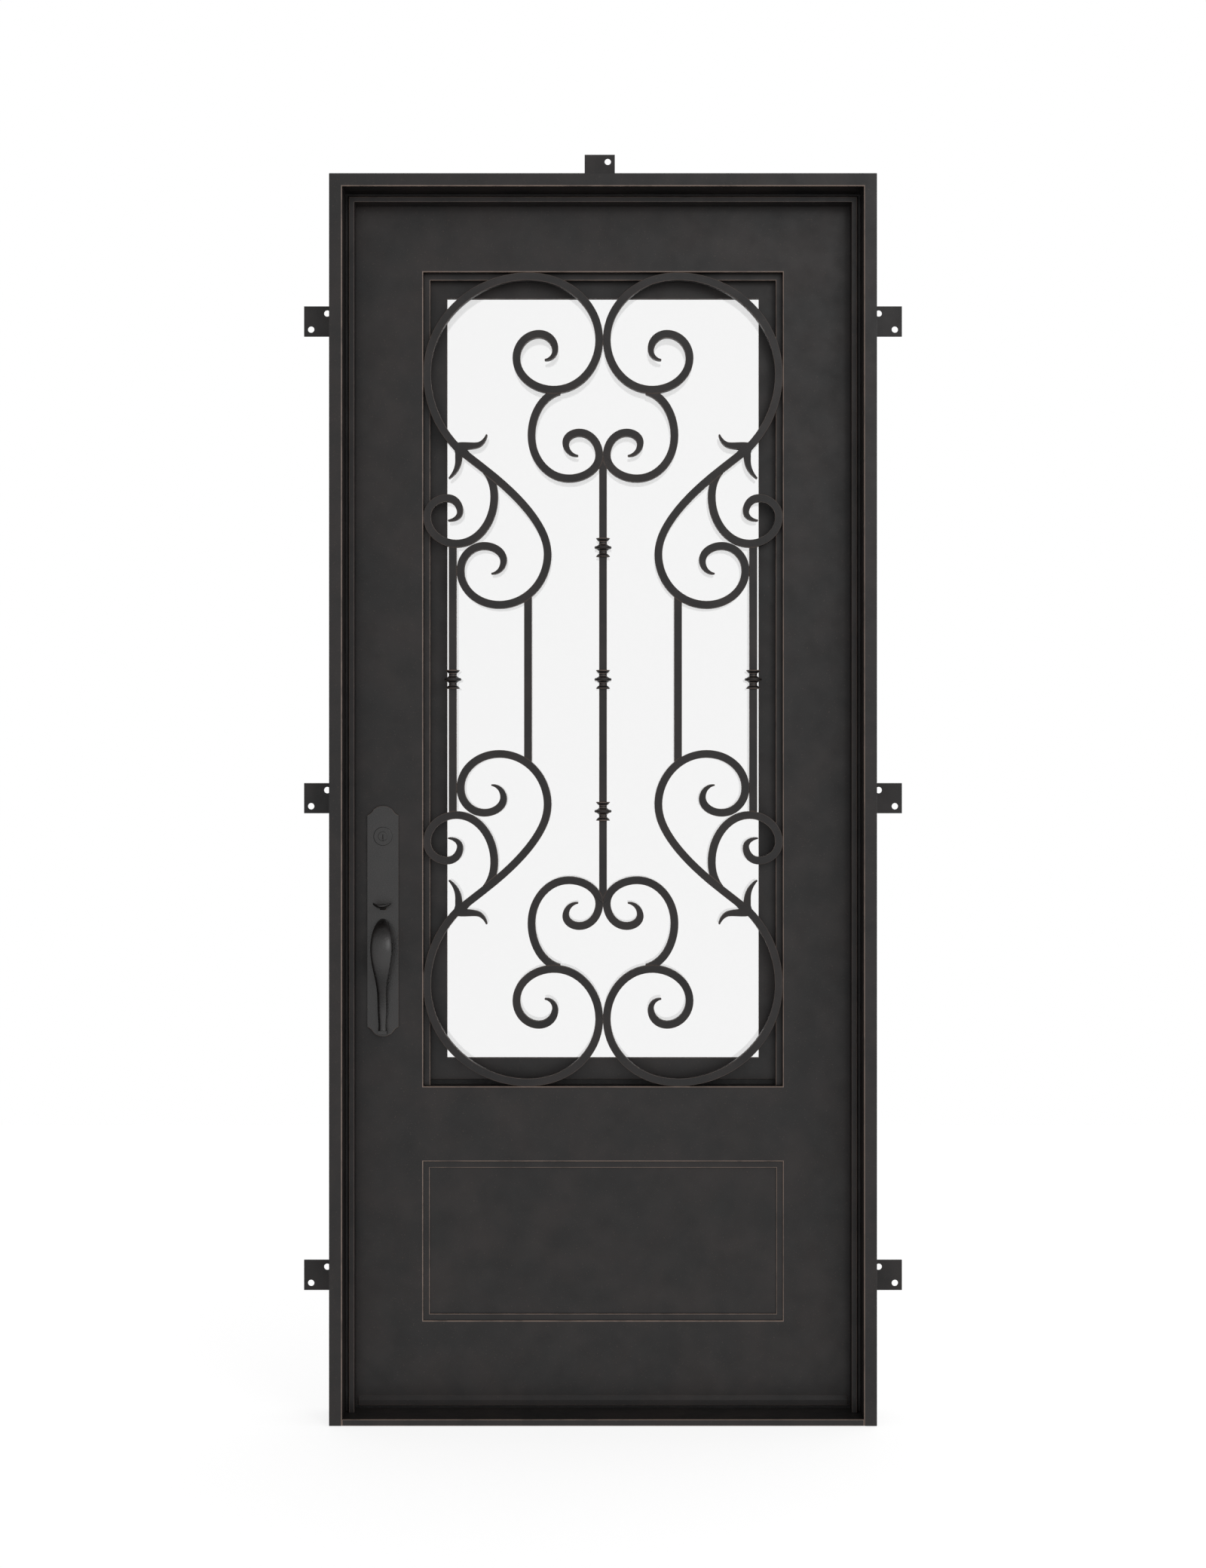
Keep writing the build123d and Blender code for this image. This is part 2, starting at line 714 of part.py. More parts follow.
LEAF_PATHS = [
    [(-290, 462, 8), (-254, 464.5, 3), (-230.8, 486.5, 75)],
    [(-286.2, 448.6, 265), (-288, 428, 258), (-306.3, 398.9, 220)],
]


def grille_quadrant():
    """The upper left quarter of the scrollwork, each bar cut to meet its neighbours."""
    opening = pane_box(
        ((-GLASS_HALF, 0), (GRILLE_Z, GLASS_OPENING_TOP)), LEAF_FACE_Y, BACK_Y
    )
    corner = forged_bar(CORNER_PATH, TAPER) & opening
    heart = (forged_bar(HEART_PATH, TAPER) & opening) - corner
    teardrop = (forged_bar(TEARDROP_PATH, TAPER) & opening) - corner
    branch = (forged_bar(BRANCH_PATH, TAPER) & opening) - teardrop - corner
    leaves = []
    for path in LEAF_PATHS:
        leaf = forged_bar(path, LEAF_TAPER)
        leaves.append(leaf - corner - teardrop - branch)
    return corner, heart, teardrop, branch, leaves


def flip_z(shape):
    return mirror(shape, about=Plane.XY.offset(GRILLE_Z))


def four_ways(shape):
    """A quarter's piece repeated to all four corners of the opening."""
    upper = [shape, mirror_x(shape)]
    return upper + [flip_z(piece) for piece in upper]


def largest(shape):
    """The main solid, without the crumbs that a cut leaves."""
    return max(shape.solids(), key=lambda solid: solid.volume)


def bar_box(x, low, high):
    """A straight square bar, with heights from the grille's middle."""
    y = (GRILLE_FRONT_Y, GRILLE_FRONT_Y + BAR_DEPTH)
    return block((x - BAR / 2, x + BAR / 2), y, (GRILLE_Z + low, GRILLE_Z + high))


def fitted_x(drawn):
    return abs(grille_point(drawn, 0).X)


def fitted_z(drawn):
    return grille_point(0, drawn).Y


def grille_bars(heart, teardrop, branch):
    """The upright bars between the scrolls, broken where a collar sits."""
    upper_collar = fitted_z(UPPER_COLLAR_Z)
    top = bar_box(0, upper_collar + COLLAR_HALF, fitted_z(HEART_TOUCH_Z))
    top = largest(top - heart - mirror_x(heart))
    middle = bar_box(0, COLLAR_HALF, upper_collar - COLLAR_HALF)
    centre = as_compound([top, middle, flip_z(middle), flip_z(top)])
    side = bar_box(-fitted_x(SIDE_BAR_X), COLLAR_HALF, fitted_z(BRANCH_TOUCH_Z))
    side = largest(side - branch)
    sides = as_compound(four_ways(side))
    reach = fitted_z(TEARDROP_TOUCH_Z)
    inner = bar_box(-fitted_x(INNER_BAR_X), -reach, reach)
    inner = largest(inner - teardrop - flip_z(teardrop))
    inners = as_compound([inner, mirror_x(inner)])
    return centre, sides, inners


def collar():
    """A turned collar: a wide disc between two coves and two thin end discs."""
    half = COLLAR_HALF
    neck = COLLAR_NECK
    outline = Polyline((0, half), (COLLAR_END_RIM, half), (COLLAR_END_RIM, half - 1.2))
    cove_top = half - 6.8
    cove_low = 7.0
    upper = ThreePointArc(
        (COLLAR_END_RIM, half - 1.2),
        (neck + 2.2, cove_top + 1.6),
        (neck, cove_top),
    )
    straight = Line((neck, cove_top), (neck, cove_low))
    lower = ThreePointArc(
        (neck, cove_low), (neck + 2.6, 4.4), (COLLAR_RIM - 1.0, 2.4)
    )
    rim = ThreePointArc((COLLAR_RIM - 1.0, 2.4), (COLLAR_RIM, 0), (COLLAR_RIM - 1.0, -2.4))
    half_edges = [outline, upper, straight, lower]
    edges = half_edges + [rim] + [mirror(edge, about=Plane.XZ) for edge in half_edges]
    edges.append(Line((0, half), (0, -half)))
    return revolve(outline_face(edges, Plane.XZ), axis=Axis.Z)


def collars():
    """Collars on the centre bar and on both side bars."""
    turned = collar()
    middle_y = GRILLE_FRONT_Y + BAR_DEPTH / 2
    side = fitted_x(SIDE_BAR_X)
    upper = fitted_z(UPPER_COLLAR_Z)
    spots = [(0, upper), (0, 0), (0, -upper), (-side, 0), (side, 0)]
    return as_compound([Pos(x, middle_y, GRILLE_Z + z) * turned for x, z in spots])


def plate_outline():
    """The handle plate's front: straight sides, with a dome between shoulders."""
    half = PLATE_WIDTH / 2
    top = (PLATE_TOP - PLATE_BOTTOM) / 2
    shoulder = top - PLATE_SHOULDER
    dome_half = half * 0.62
    radius = PLATE_DOME_RADIUS
    dome_low = top - radius + math.sqrt(radius**2 - dome_half**2)
    cove = ThreePointArc(
        (half, shoulder),
        (half - 5.5, shoulder + 3.2),
        (dome_half, dome_low),
    )
    dome = ThreePointArc((dome_half, dome_low), (0, top), (-dome_half, dome_low))
    upper = [cove, dome, mirror(cove, about=Plane.YZ)]
    lower = [mirror(edge, about=Plane.XZ) for edge in upper]
    sides = [Line((x, shoulder), (x, -shoulder)) for x in (-half, half)]
    return outline_face(upper + lower + sides, Plane.XZ)


def handle_plate(y_front, y_back):
    """A handle plate between two depths, centred on the backset line."""
    body = extrude(plate_outline(), amount=y_back - y_front, dir=(0, 1, 0))
    return Pos(HANDLE_X, y_front, (PLATE_BOTTOM + PLATE_TOP) / 2) * body


def cross_hole(diameter, x_length, y, z):
    """A round bar along X at the handle."""
    return Pos(HANDLE_X, y, z) * Rot(0, 90, 0) * Cylinder(diameter / 2, x_length)


def back_plate():
    """The outside plate, with a slot and two ears that carry the thumb latch."""
    plate = handle_plate(PLATE_FRONT_Y, LEAF_FACE_Y)
    shank_half = LATCH_SHANK / 2 + LATCH_SIDE_GAP
    slot_half = LATCH_SLOT_HEIGHT / 2 - LATCH_EAR
    slot_z = (LATCH_HEIGHT - slot_half, LATCH_HEIGHT + slot_half)
    slot_x = (HANDLE_X - shank_half, HANDLE_X + shank_half)
    plate -= block(slot_x, (PLATE_FRONT_Y - 1, LEAF_FACE_Y + 1), slot_z)
    ear_y = (LEAF_FACE_Y, LATCH_PIN_Y + LATCH_PIN)
    for side in (-1, 1):
        near = HANDLE_X + side * shank_half
        far = near + side * (LATCH_EAR - 0.5)
        plate += block((min(near, far), max(near, far)), ear_y, slot_z)
    bore = LATCH_PIN + 2 * PIN_CLEARANCE
    return plate - cross_hole(bore, PLATE_WIDTH, LATCH_PIN_Y, LATCH_HEIGHT)


def thumb_latch():
    """A dished thumb piece on a shank that rocks on a cross pin."""
    half = LATCH_WIDTH / 2
    sag = LATCH_SAG
    thick = 2.2
    tip = Line((half, sag), (half, sag + 1.4))
    under = ThreePointArc((-half, sag), (0, -thick), (half, sag))
    over = ThreePointArc((-half, sag + 1.4), (0, 0.5), (half, sag + 1.4))
    section = outline_face([under, over, tip, mirror(tip, about=Plane.YZ)], Plane.XZ)
    dish = extrude(section, amount=LATCH_REACH, dir=(0, -1, 0))
    dish = Pos(HANDLE_X, PLATE_FRONT_Y, LATCH_HEIGHT) * dish
    plan = Ellipse(half, LATCH_REACH * 0.42)
    footprint = extrude(plan, amount=40, both=True)
    spoon_y = PLATE_FRONT_Y - LATCH_REACH * 0.58
    dish &= Pos(HANDLE_X, spoon_y, LATCH_HEIGHT) * footprint
    shank_x = (HANDLE_X - LATCH_SHANK / 2, HANDLE_X + LATCH_SHANK / 2)
    shank_y = (spoon_y, LATCH_PIN_Y + LATCH_PIN)
    shank = block(shank_x, shank_y, (LATCH_HEIGHT - 5.0, LATCH_HEIGHT - 0.5))
    rib_low = LATCH_HEIGHT - 9.5
    rib_back = PLATE_FRONT_Y - 8
    rib_outline = [
        (rib_back, LATCH_HEIGHT - 1),
        (rib_back, rib_low),
        (rib_back - 6, rib_low),
        (PLATE_FRONT_Y - LATCH_REACH * 0.8, LATCH_HEIGHT - 1),
    ]
    rib = side_prism(rib_outline, shank_x[0], shank_x[1])
    boss = cross_hole(LATCH_PIN * 2.5, LATCH_SHANK, LATCH_PIN_Y, LATCH_HEIGHT)
    pin_length = LATCH_SHANK + 2 * LATCH_SIDE_GAP + 2 * LATCH_EAR - 1.4
    pin = cross_hole(LATCH_PIN, pin_length, LATCH_PIN_Y, LATCH_HEIGHT)
    return dish + shank + rib + boss + pin


def tilted_section(spot, tilt, width, thick):
    """An elliptical section square to a path in the (y, z) plane."""
    angle = math.radians(tilt)
    along = (0, -math.cos(angle), -math.sin(angle))
    plane = Plane(origin=spot, x_dir=(1, 0, 0), z_dir=along)
    return plane * Ellipse(width / 2, thick / 2)


def pull_handle():
    """A sculpted grip: broad below the thumb, narrow where it returns to its foot."""
    length = GRIP_LENGTH
    reach = GRIP_PROJECTION
    broad = GRIP_WIDTH
    neck = GRIP_NECK_WIDTH
    foot_out = 0.26 * reach
    # Distance out, distance down, width, thickness and tilt from straight out.
    stations = [
        (-3, 0, broad * 0.3, 9, 0),
        (0.41 * reach, 0.03 * length, broad * 0.57, 9, 35),
        (0.82 * reach, 0.12 * length, broad * 0.88, 10, 66),
        (reach, 0.26 * length, broad, 11, 90),
        (0.95 * reach, 0.41 * length, broad * 0.82, 11, 97),
        (0.76 * reach, 0.545 * length, broad * 0.56, 10, 110),
        (0.48 * reach, 0.70 * length, neck + 1.2, 9, 108),
        (0.30 * reach, 0.86 * length, neck, 9, 95),
        (foot_out, length, neck, 11, 90),
    ]
    sections = []
    for out, down, width, thick, tilt in stations:
        spot = (0, PLATE_FRONT_Y - out, GRIP_TOP - down)
        sections.append(tilted_section(spot, tilt, width, thick))
    grip = loft(sections)
    foot_top = GRIP_TOP - length
    foot_y = (PLATE_FRONT_Y - foot_out - 6, PLATE_FRONT_Y)
    half = neck / 2 + 0.6
    foot = block((-half, half), foot_y, (foot_top - FOOT_HEIGHT, foot_top + 0.5))
    web_y = (PLATE_FRONT_Y - foot_out, PLATE_FRONT_Y)
    web_z = (foot_top, foot_top + 0.14 * length)
    web = block((-half * 0.7, half * 0.7), web_y, web_z)
    behind_z = (foot_top - length, GRIP_TOP + length)
    behind = block((-broad, broad), (PLATE_FRONT_Y, PLATE_FRONT_Y + reach), behind_z)
    return Pos(HANDLE_X, 0, 0) * (grip + foot + web - behind)


def key_cylinder():
    """The keyed lock face, with a turned rim and a key slot in its plug."""
    proud = CYLINDER_PROUD
    body = Cylinder(CYLINDER_DIAMETER / 2, proud)
    body = chamfer(body.edges().group_by(Axis.Z)[-1], 0.8)
    plug = CYLINDER_PLUG / 2
    body += Pos(0, 0, proud / 2) * Cylinder(plug, proud + 1.2)
    slot = Pos(0, -0.15 * plug, proud) * Box(1.2, 1.1 * plug, 3.0)
    bow = Pos(0, -0.72 * plug, proud) * Cylinder(0.2 * plug, 3.0)
    body -= slot + bow
    turned = Rot(90, 0, 0) * body
    return Pos(HANDLE_X, PLATE_FRONT_Y - proud / 2, CYLINDER_HEIGHT) * turned


INSIDE_PLATE_BACK = BACK_Y + PLATE_THICKNESS


def inside_lever():
    """A lever handle on a round rose, for the room side."""
    rose = Pos(0, 4, 0) * Rot(90, 0, 0) * Cylinder(14, 8)
    neck = Pos(0, 26, 0) * Rot(90, 0, 0) * Cylinder(8, 38)
    # Distance along, out and up, then thickness and height.
    stations = [(-3, 42, 0, 15, 17), (35, 45, 2, 12, 19), (75, 43, -2, 10, 20), (112, 36, -8, 8, 15)]
    sections = []
    for along, out, up, thick, tall in stations:
        plane = Plane(origin=(along, out, up), x_dir=(0, 1, 0), z_dir=(1, 0, 0))
        sections.append(plane * Ellipse(thick / 2, tall / 2))
    arm = loft(sections)
    return Pos(HANDLE_X, INSIDE_PLATE_BACK, LATCH_HEIGHT) * (rose + neck + arm)


def thumb_turn():
    """The deadbolt's turn piece on the room side."""
    rose = Pos(0, 3, 0) * Rot(90, 0, 0) * Cylinder(15, 6)
    turn = Pos(0, 14, 0) * Box(6, 18, 30)
    turn = fillet(turn.edges().filter_by(Axis.X), 5)
    return Pos(HANDLE_X, INSIDE_PLATE_BACK, CYLINDER_HEIGHT) * (rose + turn)


def edge_plate_box():
    """The lock face plate on the leaf's latch edge."""
    y = (LOCK_Y - EDGE_PLATE_WIDTH / 2, LOCK_Y + EDGE_PLATE_WIDTH / 2)
    low = LATCH_HEIGHT - EDGE_PLATE_MARGIN
    high = CYLINDER_HEIGHT + EDGE_PLATE_MARGIN
    return block((-LEAF_HALF, -LEAF_HALF + EDGE_PLATE_THICKNESS), y, (low, high))


def bolts():
    """The latch bolt and the deadbolt, drawn back flush with the edge."""
    parts = []
    for bolt_z in (LATCH_HEIGHT, CYLINDER_HEIGHT):
        y = (LOCK_Y - BOLT_WIDTH / 2, LOCK_Y + BOLT_WIDTH / 2)
        z = (bolt_z - BOLT_HEIGHT / 2, bolt_z + BOLT_HEIGHT / 2)
        parts.append(block((-LEAF_HALF, -LEAF_HALF + BOLT_LENGTH), y, z))
    return parts


def latch_stile():
    """The latch side's stile, cut for the lock's face plate and the thumb latch."""
    stile = left_stile() - edge_plate_box()
    for bolt in bolts():
        stile -= bolt
    return stile - latch_slot()


def build_nodes():
    """Every named node of the assembly."""
    jamb = left_jamb()
    stop = side_strip(stop_outline())
    seal = side_strip(seal_outline())
    corner, heart, teardrop, branch, leaves = grille_quadrant()
    centre_bar, side_bars, inner_bars = grille_bars(heart, teardrop, branch)
    edge_plate = edge_plate_box()
    for bolt in bolts():
        edge_plate -= bolt
    leaf_pieces = []
    for leaf in leaves:
        leaf_pieces.extend(four_ways(largest(leaf)))
    return {
        "jamb_latch_side": cut_strikes(jamb),
        "jamb_hinge_side": mirror_x(jamb),
        "head_jamb": head_jamb(),
        "sill": sill(),
        "stop_latch_side": stop,
        "stop_hinge_side": mirror_x(stop),
        "stop_head": head_strip(stop_outline()),
        "weatherstrip": as_compound([seal, mirror_x(seal), head_strip(seal_outline())]),
        "anchor_tabs": anchor_tabs(),
        "frame_hinges": frame_knuckles(),
        "hinge_pins": hinge_pins(),
        "strike_plates": strike_plates(),
        "leaf_skin_outside": leaf_skin((LEAF_FACE_Y, TUBE_FRONT_Y)) - latch_slot(),
        "leaf_skin_inside": leaf_skin((TUBE_BACK_Y, BACK_Y)),
        "stile_latch_side": latch_stile(),
        "stile_hinge_side": mirror_x(left_stile()),
        "top_rail": rail(GLASS_OPENING_TOP, LEAF_TOP),
        "middle_rail": rail(KICK_OPENING_TOP, GLASS_OPENING_BOTTOM),
        "bottom_rail": rail(LEAF_BOTTOM, KICK_OPENING_BOTTOM),
        "kick_panel_outside": kick_panel(LEAF_FACE_Y, 1),
        "kick_panel_inside": kick_panel(BACK_Y, -1),
        "glazing_ledge": glazing_u(
            0, STOP_LEDGE, (LEAF_FACE_Y + STOP_LEDGE_SETBACK, GLAZING_Y - GLAZING_SEAL)
        ),
        "glazing_frame": glazing_frame(),
        "glass_pane": glass(),
        "glazing_seal": glazing_seal(),
        "drip_bar": drip_bar(),
        "door_sweep": door_sweep(),
        "leaf_hinges": leaf_knuckles(),
        "corner_scrolls": as_compound(four_ways(largest(corner))),
        "heart_scrolls": as_compound(four_ways(largest(heart))),
        "teardrop_scrolls": as_compound(four_ways(largest(teardrop))),
        "branch_scrolls": as_compound(four_ways(largest(branch))),
        "grille_leaves": as_compound(leaf_pieces),
        "centre_bar": centre_bar,
        "side_bars": side_bars,
        "inner_bars": inner_bars,
        "collars": collars(),
        "back_plate": back_plate(),
        "pull_handle": pull_handle(),
        "key_cylinder": key_cylinder(),
        "thumb_latch": thumb_latch(),
        "inside_plate": handle_plate(BACK_Y, INSIDE_PLATE_BACK),
        "inside_lever": inside_lever(),
        "thumb_turn": thumb_turn(),
        "lock_face_plate": as_compound([edge_plate] + bolts()),
    }


os.makedirs("parts", exist_ok=True)
for name, shape in build_nodes().items():
    export_step(shape, f"parts/{name}.step")
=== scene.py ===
"""The look of a wrought iron entry door in its steel frame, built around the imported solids."""
import json
import math

import bmesh
import bpy
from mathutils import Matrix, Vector

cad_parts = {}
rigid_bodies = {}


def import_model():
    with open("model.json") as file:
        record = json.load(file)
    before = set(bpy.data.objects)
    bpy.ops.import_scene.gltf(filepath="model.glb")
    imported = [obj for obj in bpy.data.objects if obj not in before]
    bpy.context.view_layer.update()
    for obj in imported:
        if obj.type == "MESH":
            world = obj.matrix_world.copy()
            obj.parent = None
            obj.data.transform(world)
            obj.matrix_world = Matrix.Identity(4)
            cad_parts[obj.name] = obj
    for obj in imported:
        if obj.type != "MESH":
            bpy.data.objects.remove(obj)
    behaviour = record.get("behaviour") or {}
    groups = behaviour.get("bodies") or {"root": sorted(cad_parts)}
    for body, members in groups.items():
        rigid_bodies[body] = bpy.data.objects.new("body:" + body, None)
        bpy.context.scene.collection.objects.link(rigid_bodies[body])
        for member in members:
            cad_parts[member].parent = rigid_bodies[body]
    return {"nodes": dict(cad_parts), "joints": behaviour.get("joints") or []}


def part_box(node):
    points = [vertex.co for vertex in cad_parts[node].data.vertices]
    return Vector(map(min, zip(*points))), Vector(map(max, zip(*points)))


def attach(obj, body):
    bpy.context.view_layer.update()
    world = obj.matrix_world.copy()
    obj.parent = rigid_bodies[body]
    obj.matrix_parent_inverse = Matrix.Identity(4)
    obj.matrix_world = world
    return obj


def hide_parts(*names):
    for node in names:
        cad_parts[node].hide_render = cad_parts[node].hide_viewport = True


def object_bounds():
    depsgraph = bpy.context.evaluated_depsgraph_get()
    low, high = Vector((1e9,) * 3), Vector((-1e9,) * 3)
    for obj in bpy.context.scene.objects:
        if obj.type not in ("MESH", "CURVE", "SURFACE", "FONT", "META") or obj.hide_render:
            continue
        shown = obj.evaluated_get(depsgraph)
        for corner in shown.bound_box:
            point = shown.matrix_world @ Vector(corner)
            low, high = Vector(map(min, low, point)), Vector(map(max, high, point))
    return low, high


bl_info = {
    "name": "Wrought iron entry door",
    "version": (1, 0, 0),
    "blender": (4, 5, 0),
    "location": "3D View > Sidebar > Iron Door",
    "description": "Finishes the door's frame, leaf, grille and hardware, and sets up the studio",
    "category": "Add Mesh",
}

for leftover in list(bpy.data.objects):
    bpy.data.objects.remove(leftover)
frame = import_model()
NODES = frame["nodes"]
CAD_LOW, CAD_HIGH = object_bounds()
MM = 0.001

# The photograph: the frame's front is 5.2 m away, and one pixel there is 1.467 mm.
PHOTO_HEIGHT_PX = 2080
PIXEL_MM = 1.467
VIEW_DISTANCE = 5.2
EYE_HEIGHT = 1.2495
SENSOR_MM = 36.0

FRAME_STEEL = ("jamb_latch_side", "jamb_hinge_side", "head_jamb")
STOP_STEEL = ("stop_latch_side", "stop_hinge_side", "stop_head")
OUTSIDE = -1
ROOM_SIDE = 1

# Distances in metres: faces this close lie in one plane, and points this close are one point.
TOUCH = 0.00005
SAME_POINT = 0.00002
WELD_DISTANCE = 0.00001
# Edges sharper than the first angle are rounded, and faces flatter than the second are joined.
SHARP_DEGREES = 32
FLAT_DEGREES = 0.3

# Half the width and height of the handle plate's slot, which the thumb piece passes through.
SLOT_HALF_WIDTH = 5.5 * MM
SLOT_HALF_HEIGHT = 9.0 * MM

FLOOR_HALF = 4.5
FLOOR_GAP = 1 * MM
PAPER_GLOW = 0.78
KEY_PLACE = (2.4, -5.4, 3.6)
KEY_SIZE = 2.2

# The lower latch side junction of the grille: across from the door's middle, and up from
# the middle of the grille. The other three are its mirror images. The points were picked
# by eye on the photograph and turned into millimetres by a separate program.
JUNCTION_WEB_MM = (
    (-292.3, -440.5),
    (-293.5, -448.6),
    (-295.8, -456.8),
    (-301.3, -462.5),
    (-292.3, -473.1),
    (-286.6, -469.0),
    (-276.0, -469.3),
    (-270.0, -456.2),
    (-264.8, -450.5),
    (-272.9, -437.2),
    (-280.2, -443.3),
    (-281.4, -439.7),
)


def linear_rgb(code):
    """An sRGB hex colour as linear red, green and blue."""
    channels = [int(code[i : i + 2], 16) / 255 for i in (1, 3, 5)]
    return tuple(c / 12.92 if c <= 0.04045 else ((c + 0.055) / 1.055) ** 2.4 for c in channels)


def colour_property(name, description, code):
    """A colour that a user can change, given as sRGB hex."""
    return bpy.props.FloatVectorProperty(
        name=name,
        description=description,
        subtype="COLOR",
        size=3,
        min=0,
        max=1,
        default=linear_rgb(code),
    )


def length_property(name, description, millimetres, top=0.05):
    """A length that a user can change, given in millimetres."""
    return bpy.props.FloatProperty(
        name=name,
        description=description,
        subtype="DISTANCE",
        unit="LENGTH",
        min=0,
        max=top,
        default=millimetres * MM,
    )


class PaintSettings(bpy.types.PropertyGroup):
    colour: colour_property("Paint", "Dark bronze paint on flat steel", "#1D1B1B")
    light_colour: colour_property("Mottling", "Lighter patches of the paint", "#292423")
    fleck_colour: colour_property("Flecks", "Fine flecks rubbed through the paint", "#66574D")
    worn_colour: colour_property("Worn edges", "Copper brown where edges are rubbed", "#917E73")
    worn_radius: length_property("Rubbed edges", "Rounding of the edges that hands rub", 1.9)
    edge_radius: length_property("Edge rounding", "Rounding of the other steel edges", 0.8)
    grille_radius: length_property("Forged rounding", "Rounding of the grille's bars", 0.9)


class HandleSettings(bpy.types.PropertyGroup):
    colour: colour_property("Handle", "Cast handle metal under dark lacquer", "#1B1919")
    rubbed_colour: colour_property("Rubbed", "Handle metal where hands polish it", "#57504B")
    edge_radius: length_property("Plate rounding", "Rounding of the plate's edge", 1.2)


class GlassSettings(bpy.types.PropertyGroup):
    colour: colour_property("Pane", "Faint grey tint of the clear glass", "#F4F4F4")
    reflection: bpy.props.FloatProperty(
        name="Second sheet",
        description="Share of the extra reflections that the unit's second sheet gives",
        subtype="FACTOR",
        min=0,
        max=1,
        default=1.0,
    )


class StudioSettings(bpy.types.PropertyGroup):
    floor_colour: colour_property("Floor", "Pale studio floor", "#B6B6B6")
    key_watts: bpy.props.FloatProperty(
        name="Key light",
        description="Power of the soft light at the upper right",
        unit="POWER",
        min=0,
        default=40,
    )
    walls: bpy.props.FloatProperty(
        name="Wall light",
        description="Strength of the even light from the studio's pale walls",
        min=0,
        max=2,
        default=0.95,
    )
    ceiling: bpy.props.FloatProperty(
        name="Ceiling light",
        description="Strength of the light from above and below",
        min=0,
        max=2,
        default=0.28,
    )


def add_node(tree, kind, inputs=None, **settings):
    """Add a node with its settings, and with its inputs as values or linked sockets."""
    node = tree.nodes.new(kind)
    for key, value in settings.items():
        setattr(node, key, value)
    for key, value in (inputs or {}).items():
        if isinstance(value, bpy.types.NodeSocket):
            tree.links.new(value, node.inputs[key])
        else:
            node.inputs[key].default_value = value
    return node


def new_material(name):
    """An empty material with only its output."""
    material = bpy.data.materials.new(name)
    material.use_nodes = True
    tree = material.node_tree
    tree.nodes.clear()
    output = add_node(tree, "ShaderNodeOutputMaterial")
    return material, tree, output


def opaque(rgb):
    """A colour with full alpha."""
    return (*rgb, 1.0)


def per_metre(millimetres):
    """A texture's scale for a pattern that repeats about every so many millimetres."""
    return 1000.0 / millimetres


def noise(tree, place, millimetres, detail=3.0, roughness=0.55):
    """Noise in the object's own metres, with patches of a real size."""
    return add_node(
        tree,
        "ShaderNodeTexNoise",
        {"Vector": place, "Scale": per_metre(millimetres), "Detail": detail, "Roughness": roughness},
    ).outputs["Fac"]


def remap(tree, value, low, high, to_low=0.0, to_high=1.0):
    """Stretch a range of values onto another, clamped at both ends."""
    node = add_node(
        tree,
        "ShaderNodeMapRange",
        {"Value": value, "From Min": low, "From Max": high, "To Min": to_low, "To Max": to_high},
    )
    return node.outputs["Result"]


def mix_colour(tree, share, first, second):
    """Blend two colours, each a value or a socket."""
    node = add_node(tree, "ShaderNodeMix", data_type="RGBA", blend_type="MIX")
    for socket, value in ((node.inputs[0], share), (node.inputs[6], first), (node.inputs[7], second)):
        if isinstance(value, bpy.types.NodeSocket):
            tree.links.new(value, socket)
        else:
            socket.default_value = value
    return node.outputs[2]


def object_place(tree):
    """The place on the object, in metres."""
    return add_node(tree, "ShaderNodeTexCoord").outputs["Object"]


def bump(tree, height, depth_mm, strength=1.0):
    """Relief of a real depth."""
    return add_node(
        tree,
        "ShaderNodeBump",
        {"Height": height, "Distance": depth_mm * MM, "Strength": strength},
    ).outputs["Normal"]


def sprayed_bronze_paint(name, settings, roughness=0.46, forged=False):
    """Dark bronze enamel sprayed on steel, hand rubbed.

    The eye sees a near-black grey that mostly mirrors the pale room, with faint brown
    clouds, fine paler flecks and an orange-peel sheen. Forged bars have hammer marks.
    """
    material, tree, output = new_material(name)
    place = object_place(tree)
    clouds = remap(tree, noise(tree, place, 90, 4), 0.38, 0.66)
    patches = mix_colour(tree, clouds, opaque(settings.colour), opaque(settings.light_colour))
    # Real flecks are under 1 mm, and are drawn at 3 mm so that they show.
    flecks = remap(tree, noise(tree, place, 3.0, 2, 0.7), 0.64, 0.8, 0, 0.45)
    colour = mix_colour(tree, flecks, patches, opaque(settings.fleck_colour))
    peel = noise(tree, place, 2.2, 2)
    height = bump(tree, peel, 0.05, 0.35)
    if forged:
        hammered = noise(tree, place, 16, 1)
        height = add_node(
            tree,
            "ShaderNodeBump",
            {"Height": hammered, "Distance": 0.6 * MM, "Strength": 0.5, "Normal": height},
        ).outputs["Normal"]
    gloss = remap(tree, noise(tree, place, 40, 3), 0.3, 0.7, roughness - 0.05, roughness + 0.07)
    shader = add_node(
        tree,
        "ShaderNodeBsdfPrincipled",
        {"Base Color": colour, "Roughness": gloss, "Normal": height, "IOR": 1.46},
    )
    tree.links.new(shader.outputs[0], output.inputs[0])
    return material


